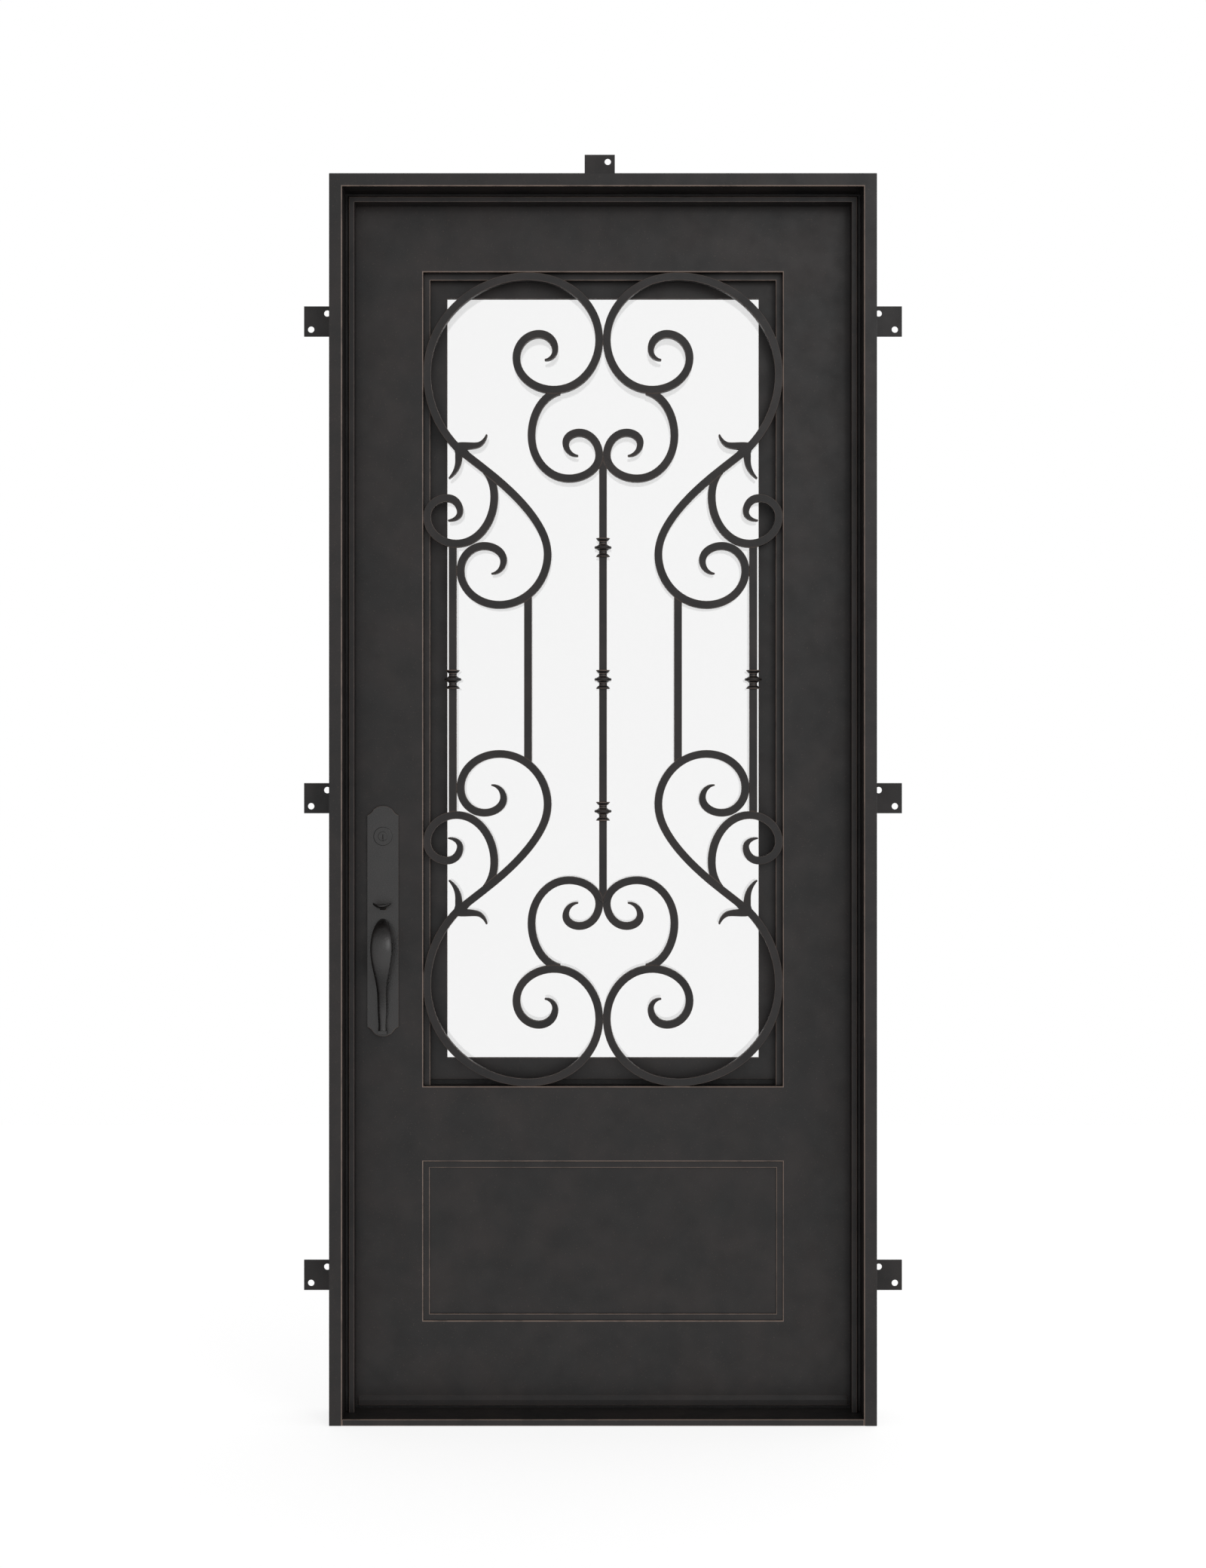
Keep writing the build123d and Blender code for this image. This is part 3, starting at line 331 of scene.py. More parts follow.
def rubbed_through_edge(name, settings, roughness=0.42, bare=0.85):
    """The same paint rubbed through to its copper brown undercoat along an edge.

    The eye sees a thin warm line along each sharp edge, dull for a few centimetres in places.
    With a small bare share, the paler line is partly a painted highlight.
    """
    material, tree, output = new_material(name)
    place = object_place(tree)
    patchy = remap(tree, noise(tree, place, 45, 3, 0.6), 0.34, 0.52, bare * 0.55, bare)
    colour = mix_colour(tree, patchy, opaque(settings.light_colour), opaque(settings.worn_colour))
    scuffs = bump(tree, noise(tree, place, 1.6, 2), 0.05, 0.4)
    shader = add_node(
        tree,
        "ShaderNodeBsdfPrincipled",
        {"Base Color": colour, "Roughness": roughness, "Normal": scuffs, "IOR": 1.5},
    )
    tree.links.new(shader.outputs[0], output.inputs[0])
    return material


def cast_and_lacquered_bronze(name, settings):
    """Sand-cast handle metal, patinated dark and lacquered.

    The eye sees a glossier charcoal than the paint, with a sandy grain that breaks up
    its highlights. The grain is drawn at 3 mm, coarser than the sand's.
    """
    material, tree, output = new_material(name)
    place = object_place(tree)
    grain = noise(tree, place, 3.0, 3, 0.65)
    clouds = remap(tree, noise(tree, place, 28, 4), 0.35, 0.7)
    patina = mix_colour(tree, clouds, opaque(settings.colour), opaque(linear_rgb("#262322")))
    flecks = remap(tree, grain, 0.6, 0.78, 0, 0.45)
    colour = mix_colour(tree, flecks, patina, opaque(settings.rubbed_colour))
    shader = add_node(
        tree,
        "ShaderNodeBsdfPrincipled",
        {
            "Base Color": colour,
            "Roughness": remap(tree, clouds, 0, 1, 0.25, 0.33),
            "Normal": bump(tree, grain, 0.5, 0.6),
            "IOR": 1.62,
        },
    )
    tree.links.new(shader.outputs[0], output.inputs[0])
    return material


def clear_double_glazing(settings):
    """Clear float glass, a sealed unit of two sheets drawn as one pane.

    The eye sees the pale wall behind it a little greyed, and faint mirror images of the
    grille's bars. The coat stands for the second sheet's reflections.
    """
    material, tree, output = new_material("clear_double_glazing")
    shader = add_node(
        tree,
        "ShaderNodeBsdfPrincipled",
        {
            "Base Color": opaque(settings.colour),
            "Roughness": 0.015,
            "IOR": 1.52,
            "Transmission Weight": 1.0,
            "Coat Weight": settings.reflection,
            "Coat Roughness": 0.03,
            "Coat IOR": 1.7,
        },
    )
    tree.links.new(shader.outputs[0], output.inputs[0])
    return material


def moulded_rubber(name):
    """Moulded sealing rubber: matt black, with a soft sheen and faint dust."""
    material, tree, output = new_material(name)
    place = object_place(tree)
    dust = remap(tree, noise(tree, place, 12, 4), 0.45, 0.75)
    colour = mix_colour(tree, dust, opaque(linear_rgb("#161616")), opaque(linear_rgb("#242322")))
    shader = add_node(
        tree,
        "ShaderNodeBsdfPrincipled",
        {
            "Base Color": colour,
            "Roughness": 0.72,
            "IOR": 1.52,
            "Normal": bump(tree, noise(tree, place, 1.5, 2), 0.05, 0.4),
        },
    )
    tree.links.new(shader.outputs[0], output.inputs[0])
    return material


def brushed_steel(name):
    """Rolled stainless plate, brushed along its length: a bright grey with fine lines."""
    material, tree, output = new_material(name)
    place = object_place(tree)
    stretched = add_node(tree, "ShaderNodeMapping", {"Vector": place, "Scale": (1, 1, 0.04)})
    lines = noise(tree, stretched.outputs[0], 0.8, 2)
    colour = mix_colour(
        tree, remap(tree, lines, 0.3, 0.7), opaque(linear_rgb("#8F8B87")), opaque(linear_rgb("#B2AEA9"))
    )
    shader = add_node(
        tree,
        "ShaderNodeBsdfPrincipled",
        {
            "Base Color": colour,
            "Metallic": 1.0,
            "Roughness": remap(tree, lines, 0.3, 0.7, 0.3, 0.42),
            "Normal": bump(tree, lines, 0.03, 0.4),
        },
    )
    tree.links.new(shader.outputs[0], output.inputs[0])
    return material


def plain_studio_paper(settings):
    """Matt white background paper: pale and even, with only a soft contact shadow.

    It glows a little, so that it is as pale as the walls where the camera sees it.
    """
    material, tree, output = new_material("plain_studio_paper")
    place = object_place(tree)
    fibres = remap(tree, noise(tree, place, 4, 2), 0.3, 0.7, 0.0, 0.3)
    colour = mix_colour(
        tree, fibres, opaque(settings.floor_colour), opaque(linear_rgb("#B2B2B2"))
    )
    shader = add_node(
        tree,
        "ShaderNodeBsdfPrincipled",
        {
            "Base Color": colour,
            "Roughness": 0.95,
            "Emission Color": (1, 1, 1, 1),
            "Emission Strength": PAPER_GLOW,
        },
    )
    tree.links.new(shader.outputs[0], output.inputs[0])
    return material


def material_named(name, make, *arguments, **options):
    """Make a material once, and find it again by its name."""
    found = bpy.data.materials.get(name)
    return found or make(name, *arguments, **options)


def painted(context):
    """The paint on flat steel."""
    return material_named("sprayed_bronze_paint", sprayed_bronze_paint, context.scene.door_paint)


def forged(context):
    """The paint on forged bars."""
    paint = context.scene.door_paint
    return material_named("forged_bronze_paint", sprayed_bronze_paint, paint, forged=True)


def worn(context):
    """Edges that are rubbed through."""
    return material_named("rubbed_through_edge", rubbed_through_edge, context.scene.door_paint)


def worn_edge_with_painted_highlight(context):
    """Edges that are only a little rubbed, their paler line partly a painted highlight."""
    paint = context.scene.door_paint
    # The paler edge line here is partly rubbed paint and partly a painted highlight.
    return material_named("softly_rubbed_edge", rubbed_through_edge, paint, bare=0.28)


def handle_metal(context):
    """The handle set's metal."""
    return material_named(
        "cast_and_lacquered_bronze", cast_and_lacquered_bronze, context.scene.door_handle
    )


def set_materials(piece, surface, edge=None):
    """Give a piece its surface, and its rounded edges a material of their own."""
    piece.data.materials.clear()
    piece.data.materials.append(surface)
    if edge is not None:
        piece.data.materials.append(edge)


def round_edges(piece, name, radius, segments, limit, edge_material=-1, angle=SHARP_DEGREES):
    """Round a piece's sharp edges, or only its marked ones, and give them a material."""
    rounding = piece.modifiers.new(name, "BEVEL")
    rounding.width = radius
    rounding.segments = segments
    rounding.limit_method = limit
    rounding.angle_limit = math.radians(angle)
    rounding.use_clamp_overlap = False
    rounding.harden_normals = True
    rounding.material = edge_material


def finish_node(piece, surface, edge=None, radius=0.0, segments=2):
    """Give a solid its material, and round its sharp edges with an edge material of their own."""
    set_materials(piece, surface, edge)
    if radius <= 0:
        return
    weld = piece.modifiers.new("Join faces", "WELD")
    weld.merge_threshold = WELD_DISTANCE
    flat = piece.modifiers.new("Merge flat faces", "DECIMATE")
    flat.decimate_type = "DISSOLVE"
    flat.angle_limit = math.radians(FLAT_DEGREES)
    edge_material = -1 if edge is None else 1
    round_edges(piece, "Round edges", radius, segments, "ANGLE", edge_material)


def mitre_faces(work):
    """Faces that lie on a 45 degree mitre, which the weld hides."""
    found = []
    for face in work.faces:
        normal = face.normal
        if abs(abs(normal.x) - abs(normal.z)) < 0.01 and abs(normal.y) < 0.01:
            found.append(face)
    return found


def in_face(edge, face_y):
    """Whether an edge lies in a face that looks along Y."""
    return all(abs(end.co.y - face_y) < TOUCH for end in edge.verts)


def on_outline(edge, low, high):
    """Whether an edge lies on the outline of a piece, seen from the front."""
    first, second = (end.co for end in edge.verts)
    for axis in ("x", "z"):
        for limit in (getattr(low, axis), getattr(high, axis)):
            if abs(getattr(first, axis) - limit) < TOUCH and abs(getattr(second, axis) - limit) < TOUCH:
                return True
    return False


def mark_rubbed_edges(work, side, inner_share, outline_share):
    """Weight the sharp edges of one face: those round openings, and those on the outline."""
    weight = work.edges.layers.float.new("bevel_weight_edge")
    low = Vector([min(v.co[i] for v in work.verts) for i in range(3)])
    high = Vector([max(v.co[i] for v in work.verts) for i in range(3)])
    face_y = low.y if side == OUTSIDE else high.y
    for edge in work.edges:
        if len(edge.link_faces) == 2 and edge.calc_face_angle(0) > math.radians(SHARP_DEGREES):
            if in_face(edge, face_y):
                edge[weight] = outline_share if on_outline(edge, low, high) else inner_share


def dressed_copy(names, new_name, body, side=OUTSIDE, inner_share=1.0, outline_share=0.0):
    """One mesh from members that are welded together, with the edges to rub marked."""
    work = bmesh.new()
    for name in names:
        work.from_mesh(NODES[name].data)
    bmesh.ops.remove_doubles(work, verts=work.verts, dist=SAME_POINT)
    bmesh.ops.delete(work, geom=mitre_faces(work), context="FACES")
    bmesh.ops.dissolve_limit(
        work, angle_limit=math.radians(FLAT_DEGREES), verts=work.verts, edges=work.edges
    )
    mark_rubbed_edges(work, side, inner_share, outline_share)
    mesh = bpy.data.meshes.new(new_name)
    work.to_mesh(mesh)
    work.free()
    piece = bpy.data.objects.new(new_name, mesh)
    bpy.context.collection.objects.link(piece)
    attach(piece, body)
    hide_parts(*names)
    return piece


def finish_copy(piece, surface, edge, rubbed_radius, other_radius=0.0):
    """Round the marked edges with the worn material, and the others more finely without it."""
    set_materials(piece, surface, edge)
    round_edges(piece, "Rubbed edges", rubbed_radius, 3, "WEIGHT", 1)
    if other_radius > 0:
        round_edges(piece, "Other edges", other_radius, 2, "ANGLE")


def made_piece(name, work, body, surface, smooth=True):
    """Turn a bmesh into a piece that rides on a body."""
    bmesh.ops.recalc_face_normals(work, faces=work.faces)
    mesh = bpy.data.meshes.new(name)
    work.to_mesh(mesh)
    work.free()
    if smooth:
        mesh.shade_smooth()
    mesh.materials.append(surface)
    piece = bpy.data.objects.new(name, mesh)
    bpy.context.collection.objects.link(piece)
    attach(piece, body)
    return piece


def bridge_rings(work, rings):
    """Join rings of equal length with quads, and close both ends."""
    loops = [[work.verts.new(point) for point in ring] for ring in rings]
    count = len(loops[0])
    for near, far in zip(loops, loops[1:]):
        for i in range(count):
            j = (i + 1) % count
            work.faces.new((near[i], near[j], far[j], far[i]))
    work.faces.new(loops[0])
    work.faces.new(list(reversed(loops[-1])))


def solids_of(name):
    """The lowest and highest corner of each separate solid in a node."""
    work = bmesh.new()
    work.from_mesh(NODES[name].data)
    bmesh.ops.remove_doubles(work, verts=work.verts, dist=SAME_POINT)
    waiting = set(work.verts)
    boxes = []
    while waiting:
        front = [waiting.pop()]
        solid = []
        while front:
            vertex = front.pop()
            solid.append(vertex.co.copy())
            for edge in vertex.link_edges:
                other = edge.other_vert(vertex)
                if other in waiting:
                    waiting.remove(other)
                    front.append(other)
        low = Vector([min(point[i] for point in solid) for i in range(3)])
        high = Vector([max(point[i] for point in solid) for i in range(3)])
        boxes.append((low, high))
    work.free()
    return sorted(boxes, key=lambda box: (box[0].x, box[0].z))


def joint_place(name):
    """Where a joint's axis lies."""
    for joint in frame["joints"]:
        if joint["name"] == name:
            return Vector(joint["pos_m"])
    raise RuntimeError(f"the frame has no joint named {name}")


def add_screw(work, place, facing, radius, proud):
    """A button head with a hexagon socket, seated at a place and facing a way."""
    turn = Vector(facing).to_track_quat("Z", "Y")
    points_round = 24
    socket = 0.46
    # Each ring's share of the radius and of the height, and whether it is the socket's hexagon.
    profile = [
        (1.0, -0.2, False),
        (1.0, 0.25, False),
        (0.93, 0.6, False),
        (0.78, 0.88, False),
        (socket + 0.1, 1.0, False),
        (socket, 1.0, True),
        (socket, -0.1, True),
    ]
    rings = []
    for share, height, hexagon in profile:
        ring = []
        for i in range(points_round):
            angle = math.tau * i / points_round
            reach = share * radius
            if hexagon:
                reach *= math.cos(math.pi / 6) / math.cos(angle % (math.pi / 3) - math.pi / 6)
            point = Vector((reach * math.cos(angle), reach * math.sin(angle), height * proud))
            ring.append(Vector(place) + turn @ point)
        rings.append(ring)
    bridge_rings(work, rings)


def spread(low, high, spacing):
    """Evenly spaced places from one end to the other, no further apart than a spacing."""
    steps = max(1, math.ceil((high - low) / spacing))
    return [low + (high - low) * i / steps for i in range(steps + 1)]


def add_weld(work, start, end, radius):
    """A weld bead between two points, rippled by the welder's steps."""
    start = Vector(start)
    along = Vector(end) - start
    turn = along.to_track_quat("Z", "Y")
    ripple = 3.2 * MM
    ripple_depth = 0.13
    end_share = 0.35
    points_round = 10
    steps = max(6, round(along.length / (ripple / 4)))
    rings = []
    for step in range(steps + 1):
        share = step / steps
        swell = 1 + ripple_depth * math.sin(math.tau * share * along.length / ripple)
        taper = min(1.0, end_share + 6 * min(share, 1 - share))
        ring = []
        for i in range(points_round):
            angle = math.tau * i / points_round
            reach = radius * swell * taper
            point = Vector((reach * math.cos(angle), reach * math.sin(angle), 0))
            ring.append(start + along * share + turn @ point)
        rings.append(ring)
    bridge_rings(work, rings)


def tab_welds(surface):
    """Beads in front of and behind each tab, where it meets the frame."""
    frame_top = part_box("jamb_hinge_side")[1].z
    inset = 2 * MM
    work = bmesh.new()
    for near, far in solids_of("anchor_tabs"):
        for y in (near.y, far.y):
            if near.z > frame_top - TOUCH:
                ends = ((near.x + inset, y, near.z), (far.x - inset, y, near.z))
            else:
                x = far.x if near.x < 0 else near.x
                ends = ((x, y, near.z + inset), (x, y, far.z - inset))
            add_weld(work, *ends, 1.8 * MM)
    made_piece("tab_welds", work, "frame", surface)


class DOOR_OT_frame(bpy.types.Operator):
    """Finish the welded frame, its stops, its sill and its anchor tabs"""

    bl_idname = "door.frame"
    bl_label = "Frame"

    def execute(self, context):
        paint = context.scene.door_paint
        surface = painted(context)
        members = dressed_copy(FRAME_STEEL, "welded_frame", "frame")
        finish_copy(members, surface, worn(context), paint.worn_radius, paint.edge_radius)
        stops = dressed_copy(STOP_STEEL, "welded_stops", "frame")
        # The stops' paler edge lines are partly a painted highlight.
        finish_copy(stops, surface, worn_edge_with_painted_highlight(context), paint.edge_radius, paint.edge_radius * 0.5)
        threshold = dressed_copy(("sill",), "threshold", "frame", outline_share=0.6)
        finish_copy(threshold, surface, worn(context), paint.worn_radius, paint.edge_radius * 0.5)
        finish_node(NODES["anchor_tabs"], surface, None, paint.edge_radius * 0.5)
        tab_welds(surface)
        return {"FINISHED"}


class DOOR_OT_leaf(bpy.types.Operator):
    """Finish the leaf's skins, its tubes, its kick panels and its drip bar"""

    bl_idname = "door.leaf"
    bl_label = "Leaf"

    def execute(self, context):
        paint = context.scene.door_paint
        surface = painted(context)
        edge = worn(context)
        for word, side in (("outside", OUTSIDE), ("inside", ROOM_SIDE)):
            skin = dressed_copy(
                (f"leaf_skin_{word}",), f"{word}_skin", "leaf", side, outline_share=0.4
            )
            finish_copy(skin, surface, edge, paint.worn_radius)
            kick = dressed_copy((f"kick_panel_{word}",), f"{word}_kick_panel", "leaf", side, 0.6)
            finish_copy(kick, surface, edge, paint.worn_radius)
        # The drip bar's paler edge line is partly a painted highlight.
        finish_node(NODES["drip_bar"], surface, worn_edge_with_painted_highlight(context), paint.edge_radius)
        tubes = ("stile_latch_side", "stile_hinge_side", "top_rail", "middle_rail", "bottom_rail")
        for name in tubes:
            finish_node(NODES[name], surface)
        return {"FINISHED"}


def junction_webs(surface, radius):
    """Filled and ground welds where each corner scroll meets its teardrop and two leaves."""
    low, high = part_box("corner_scrolls")
    leaves_low, leaves_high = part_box("grille_leaves")
    middle = (leaves_low.z + leaves_high.z) / 2
    proud = 0.12 * MM
    work = bmesh.new()
    for side in (-1, 1):
        for level in (-1, 1):
            outline = [(-side * x * MM, middle - level * z * MM) for x, z in JUNCTION_WEB_MM]
            front = [work.verts.new((x, low.y - proud, z)) for x, z in outline]
            back = [work.verts.new((x, high.y + proud, z)) for x, z in outline]
            work.faces.new(front)
            work.faces.new(list(reversed(back)))
            for i in range(len(outline)):
                j = (i + 1) % len(outline)
                work.faces.new((front[i], back[i], back[j], front[j]))
    webs = made_piece("junction_webs", work, "leaf", surface, smooth=False)
    round_edges(webs, "Ground edges", radius, 2, "ANGLE", angle=50)


class DOOR_OT_grille(bpy.types.Operator):
    """Finish the forged scrolls, their leaves, the square bars and the turned collars"""

    bl_idname = "door.grille"
    bl_label = "Grille"

    def execute(self, context):
        paint = context.scene.door_paint
        scrolls = ("corner_scrolls", "heart_scrolls", "teardrop_scrolls", "branch_scrolls")
        bars = ("centre_bar", "side_bars", "inner_bars", "grille_leaves")
        for name in scrolls + bars:
            # The bars' paler edge lines are partly a painted highlight.
            finish_node(NODES[name], forged(context), worn_edge_with_painted_highlight(context), paint.grille_radius)
        finish_node(NODES["collars"], forged(context), worn(context), paint.grille_radius * 0.4)
        junction_webs(forged(context), paint.grille_radius * 0.25)
        return {"FINISHED"}


def glazing_screws(context):
    """Button head screws round the room side of the glazing frame."""
    low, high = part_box("glazing_frame")
    inset = 20 * MM
    spacing = 320 * MM
    left, right = low.x + inset, high.x - inset
    foot, top = low.z + inset, high.z - inset
    places = [(x, z) for x in (left, right) for z in spread(foot, top, spacing)]
    places += [(x, z) for x in spread(left, right, spacing)[1:-1] for z in (foot, top)]
    work = bmesh.new()
    for x, z in places:
        add_screw(work, (x, high.y, z), (0, 1, 0), 5.0 * MM, 2.4 * MM)
    made_piece("glazing_screws", work, "leaf", handle_metal(context))


class DOOR_OT_glazing(bpy.types.Operator):
    """Finish the pane, its ledge bars and its frame, and add the frame's screws"""

    bl_idname = "door.glazing"
    bl_label = "Glazing"

    def execute(self, context):
        paint = context.scene.door_paint
        surface = painted(context)
        ledge = dressed_copy(("glazing_ledge",), "glazing_ledge_bars", "leaf", inner_share=0.6)
        finish_copy(ledge, surface, worn(context), paint.worn_radius, paint.edge_radius * 0.5)
        # The glazing frame's paler edge lines are partly a painted highlight.
        finish_node(NODES["glazing_frame"], surface, worn_edge_with_painted_highlight(context), paint.edge_radius)
        finish_node(NODES["glass_pane"], clear_double_glazing(context.scene.door_glass))
        glazing_screws(context)
        return {"FINISHED"}


class DOOR_OT_rubber(bpy.types.Operator):
    """Finish the weatherstrip, the sweep and the glazing seal"""

    bl_idname = "door.rubber"
    bl_label = "Rubber"

    def execute(self, context):
        rubber = material_named("moulded_sealing_rubber", moulded_rubber)
        for name in ("weatherstrip", "door_sweep", "glazing_seal"):
            finish_node(NODES[name], rubber)
        return {"FINISHED"}


def hinge_welds(name, body, side, surface):
    """Beads round the free edges of the hinges' plates, on the steel that carries them."""
    work = bmesh.new()
    short = 14 * MM
    for low, high in solids_of(name):
        x = high.x if side > 0 else low.x
        y = low.y
        add_weld(work, (x, y, low.z + 1 * MM), (x, y, high.z - 1 * MM), 2.2 * MM)
        for z in (low.z, high.z):
            add_weld(work, (x, y, z), (x - side * short, y, z), 2.0 * MM)
    made_piece(f"{body}_hinge_welds", work, body, surface)


class DOOR_OT_hinges(bpy.types.Operator):
    """Finish the weld-on barrel hinges and their pins"""

    bl_idname = "door.hinges"
    bl_label = "Hinges"

    def execute(self, context):
        paint = context.scene.door_paint
        for name in ("frame_hinges", "leaf_hinges"):
            finish_node(NODES[name], painted(context), worn(context), paint.edge_radius)
        finish_node(NODES["hinge_pins"], material_named("brushed_steel", brushed_steel))
        hinge_welds("frame_hinges", "frame", 1, painted(context))
        hinge_welds("leaf_hinges", "leaf", -1, painted(context))
        return {"FINISHED"}


def plate_screws(name, body, side, surface):
    """Two flush screws in each plate of the latch edge, facing along X."""
    work = bmesh.new()
    inset = 8 * MM
    for low, high in solids_of(name):
        x = high.x if side > 0 else low.x
        for z in (low.z + inset, high.z - inset):
            place = (x, (low.y + high.y) / 2, z)
            add_screw(work, place, (side, 0, 0), 3.6 * MM, 0.5 * MM)
    made_piece(f"{name}_screws", work, body, surface)


class DOOR_OT_lock(bpy.types.Operator):
    """Finish the strikes in the jamb and the lock's plate in the leaf's edge"""

    bl_idname = "door.lock"
    bl_label = "Lock edge"

    def execute(self, context):
        steel = material_named("brushed_steel", brushed_steel)
        for name in ("strike_plates", "lock_face_plate"):
            finish_node(NODES[name], steel, None, 0.3 * MM)
        plate_screws("strike_plates", "frame", 1, steel)
        plate_screws("lock_face_plate", "leaf", -1, steel)
        return {"FINISHED"}


def thumb_dish(context):
    """The cast bowl round the thumb piece: nearly flat above and full below."""
    low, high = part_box("thumb_latch")
    plate_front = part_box("back_plate")[0].y
    margin = 0.3 * MM
    half_width = (high.x - low.x) / 2 + margin
    centre_x = (high.x + low.x) / 2
    # The bowl takes up 84 % of the thumb piece's reach in front of the plate.
    half_reach = (plate_front - low.y) * 0.42 + margin
    centre_y = low.y + half_reach - margin
    rim_z = high.z - 2.0 * MM
    sag = 3.4 * MM
    crown = 0.5 * MM
    wall = 1.0 * MM
    depth = 6.0 * MM
    fullness = 0.8
    points_round = 40
    steps = 8
    shares = [step / steps for step in range(1, steps + 1)]
    layers = [(share, True) for share in shares]
    layers += [(share, False) for share in reversed(shares)]
    rings = []
    for share, above in layers:
        ring = []
        for i in range(points_round):
            angle = math.tau * i / points_round
            across = share * math.cos(angle)
            z = rim_z - sag * (1 - across**2)
            if above:
                z += crown
            else:
                z -= wall + depth * (1 - share**2) ** fullness
            x = centre_x + across * half_width
            y = centre_y + share * math.sin(angle) * half_reach
            ring.append((x, y, z))
        rings.append(ring)
    work = bmesh.new()
    bridge_rings(work, rings)
    made_piece("thumb_dish", work, "thumb_latch", handle_metal(context))


def slot_cover(context):
    """A small cast web that closes the plate's slot above the thumb piece's shank."""
    low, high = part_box("back_plate")
    centre_x = (low.x + high.x) / 2
    pivot_z = joint_place("thumb_latch_press").z
    rounding = context.scene.door_handle.edge_radius
    half_width = SLOT_HALF_WIDTH + rounding
    clear_of_shank = 0.85 * MM
    foot = pivot_z + clear_of_shank
    top = pivot_z + SLOT_HALF_HEIGHT + rounding
    sunk = 0.02 * MM
    thickness = 2.8 * MM
    front = low.y + sunk
    back = front + thickness
    work = bmesh.new()
    bmesh.ops.create_cube(work, size=1)
    for vertex in work.verts:
        vertex.co.x = centre_x + vertex.co.x * 2 * half_width
        vertex.co.y = (front + back) / 2 + vertex.co.y * (back - front)
        vertex.co.z = (foot + top) / 2 + vertex.co.z * (top - foot)
    bmesh.ops.bevel(
        work, geom=work.edges[:], offset=0.1 * MM, segments=1, affect="EDGES", profile=0.5
    )
    metal = handle_metal(context)
    made_piece("slot_cover", work, "leaf", metal, smooth=False)


def inside_plate_screws(context):
    """The two screws that hold both plates together, in the room side plate's domes."""
    low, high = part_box("inside_plate")
    inset = 12 * MM
    work = bmesh.new()
    for z in (low.z + inset, high.z - inset):
        add_screw(work, ((low.x + high.x) / 2, high.y, z), (0, 1, 0), 4.2 * MM, 1.6 * MM)
    made_piece("inside_plate_screws", work, "leaf", handle_metal(context))


class DOOR_OT_handle(bpy.types.Operator):
    """Finish the pull, its plate, the thumb latch, the key cylinder and the room side's set"""

    bl_idname = "door.handle"
    bl_label = "Handle set"

    def execute(self, context):
        settings = context.scene.door_handle
        metal = handle_metal(context)
        for name in ("back_plate", "inside_plate"):
            # The plates' paler edge lines are partly a painted highlight.
            finish_node(NODES[name], metal, worn_edge_with_painted_highlight(context), settings.edge_radius, 3)
        for name in ("pull_handle", "thumb_latch", "key_cylinder", "inside_lever", "thumb_turn"):
            finish_node(NODES[name], metal, None, 0.5 * MM)
        thumb_dish(context)
        slot_cover(context)
        inside_plate_screws(context)
        return {"FINISHED"}


def area_light(name, place, target, size, watts):
    """A soft square light aimed at a point."""
    data = bpy.data.lights.new(name, "AREA")
    data.shape = "SQUARE"
    data.size = size
    data.energy = watts
    light = bpy.data.objects.new(name, data)
    light.location = place
    light.rotation_euler = (Vector(target) - Vector(place)).to_track_quat("-Z", "Y").to_euler()
    bpy.context.collection.objects.link(light)


def studio_floor(settings):
    """A pale floor just under the frame's sill.

    It casts no light and no reflection on the door, because its glow would light the
    undersides, which the photograph shows dark.
    """
    half = FLOOR_HALF
    mesh = bpy.data.meshes.new("studio_floor")
    corners = [(-half, -half, 0), (half, -half, 0), (half, half, 0), (-half, half, 0)]
    mesh.from_pydata(corners, [], [(0, 1, 2, 3)])
    mesh.materials.append(plain_studio_paper(settings))
    floor = bpy.data.objects.new("studio_floor", mesh)
    floor.location.z = CAD_LOW.z - FLOOR_GAP
    floor.visible_diffuse = False
    floor.visible_glossy = False
    bpy.context.collection.objects.link(floor)


def studio_world(settings):
    """Pale walls all round, plain white where they are seen.

    The light they cast is even in front, behind and on the hinge side, weaker on the
    latch side, and weakest from the ceiling and the ground.
    """
    world = bpy.data.worlds.new("pale_studio")
    bpy.context.scene.world = world
    world.use_nodes = True
    tree = world.node_tree
    tree.nodes.clear()
    way = add_node(tree, "ShaderNodeTexCoord").outputs["Generated"]
    parts = add_node(tree, "ShaderNodeSeparateXYZ", {0: way})
    steepness = add_node(tree, "ShaderNodeMath", {0: parts.outputs["Z"]}, operation="ABSOLUTE")
    walls = remap(tree, steepness.outputs[0], 0.4, 0.85, settings.walls, settings.ceiling)
    latch_side = remap(tree, parts.outputs["X"], -0.8, 0.0, 0.5, 1.0)
    strength = add_node(tree, "ShaderNodeMath", {0: walls, 1: latch_side}, operation="MULTIPLY")
    cast = add_node(
        tree, "ShaderNodeBackground", {"Color": (1, 1, 1, 1), "Strength": strength.outputs[0]}
    )
    seen = add_node(tree, "ShaderNodeBackground", {"Color": (1, 1, 1, 1), "Strength": 1.0})
    path = add_node(tree, "ShaderNodeLightPath")
    through = add_node(
        tree,
        "ShaderNodeMath",
        {0: path.outputs["Is Camera Ray"], 1: path.outputs["Is Transmission Ray"]},
        operation="MAXIMUM",
    )
    mix = add_node(
        tree,
        "ShaderNodeMixShader",
        {0: through.outputs[0], 1: cast.outputs[0], 2: seen.outputs[0]},
    )
    add_node(tree, "ShaderNodeOutputWorld", {"Surface": mix.outputs[0]})


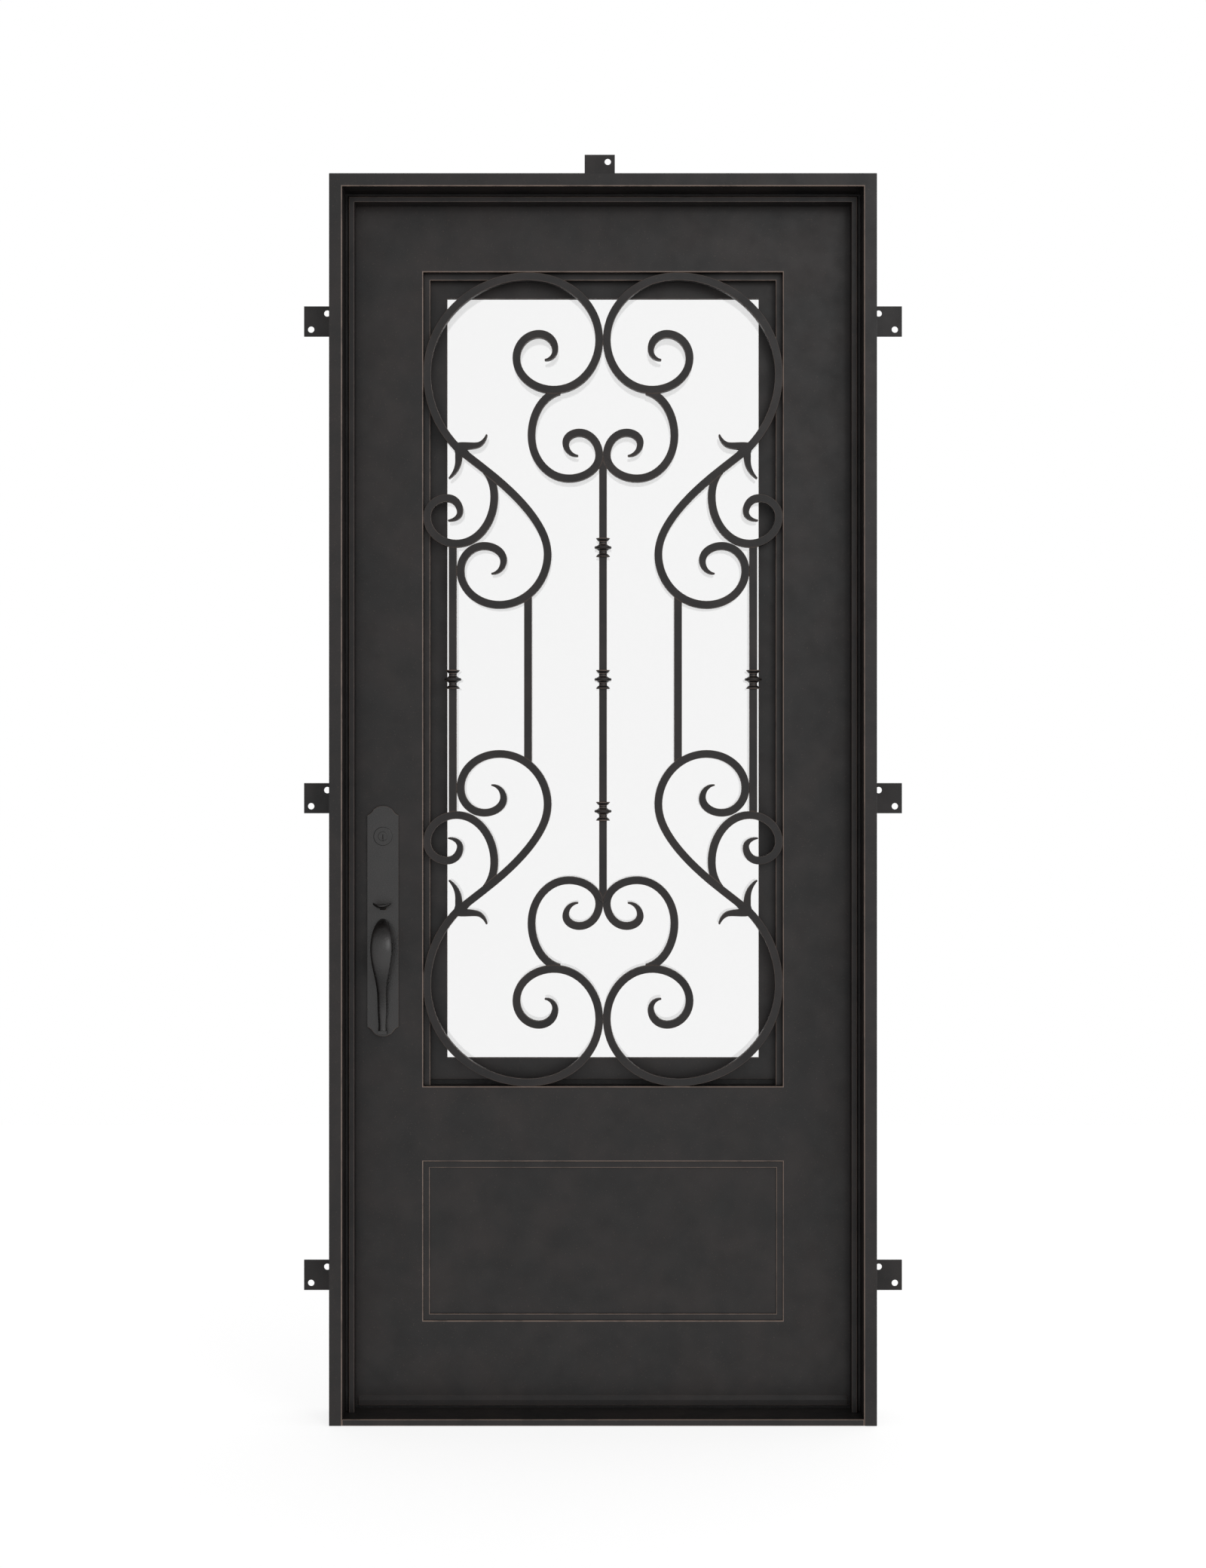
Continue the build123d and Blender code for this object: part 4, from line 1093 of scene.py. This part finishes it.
def photo_camera():
    """The photograph's view: level, straight on, with the picture's middle at eye height."""
    data = bpy.data.cameras.new("photo_camera")
    data.sensor_fit = "VERTICAL"
    data.sensor_width = SENSOR_MM
    data.sensor_height = SENSOR_MM
    seen_height = PHOTO_HEIGHT_PX * PIXEL_MM * MM
    data.lens = SENSOR_MM * VIEW_DISTANCE / seen_height
    camera = bpy.data.objects.new("photo_camera", data)
    front_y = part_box("jamb_latch_side")[0].y
    camera.location = (0, front_y - VIEW_DISTANCE, EYE_HEIGHT)
    camera.rotation_euler = (math.radians(90), 0, 0)
    bpy.context.collection.objects.link(camera)
    bpy.context.scene.camera = camera


class DOOR_OT_stage(bpy.types.Operator):
    """Lay the pale floor, hang the soft lights and set up the photograph's camera"""

    bl_idname = "door.stage"
    bl_label = "Studio"

    def execute(self, context):
        settings = context.scene.door_studio
        studio_floor(settings)
        studio_world(settings)
        middle = (0, 0, EYE_HEIGHT)
        area_light("key_softbox", KEY_PLACE, middle, KEY_SIZE, settings.key_watts)
        photo_camera()
        context.scene.view_settings.view_transform = "Standard"
        context.scene.view_settings.look = "None"
        return {"FINISHED"}


OPERATORS = (
    DOOR_OT_frame,
    DOOR_OT_leaf,
    DOOR_OT_grille,
    DOOR_OT_glazing,
    DOOR_OT_rubber,
    DOOR_OT_hinges,
    DOOR_OT_lock,
    DOOR_OT_handle,
    DOOR_OT_stage,
)


class DOOR_PT_panel(bpy.types.Panel):
    bl_idname = "DOOR_PT_panel"
    bl_label = "Iron door"
    bl_space_type = "VIEW_3D"
    bl_region_type = "UI"
    bl_category = "Iron Door"

    def draw(self, context):
        layout = self.layout
        for name in SETTINGS:
            box = layout.box()
            settings = getattr(context.scene, name)
            for key in settings.__annotations__:
                box.prop(settings, key)
        for operator in OPERATORS:
            layout.operator(operator.bl_idname)


SETTINGS = {
    "door_paint": PaintSettings,
    "door_handle": HandleSettings,
    "door_glass": GlassSettings,
    "door_studio": StudioSettings,
}


def register():
    for group in SETTINGS.values():
        bpy.utils.register_class(group)
    for name, group in SETTINGS.items():
        setattr(bpy.types.Scene, name, bpy.props.PointerProperty(type=group))
    for cls in OPERATORS + (DOOR_PT_panel,):
        bpy.utils.register_class(cls)


def unregister():
    for cls in reversed(OPERATORS + (DOOR_PT_panel,)):
        bpy.utils.unregister_class(cls)
    for name in SETTINGS:
        delattr(bpy.types.Scene, name)
    for group in SETTINGS.values():
        bpy.utils.unregister_class(group)


def main():
    register()
    for operator in OPERATORS:
        section, action = operator.bl_idname.split(".")
        getattr(getattr(bpy.ops, section), action)()


if __name__ == "__main__":
    main()
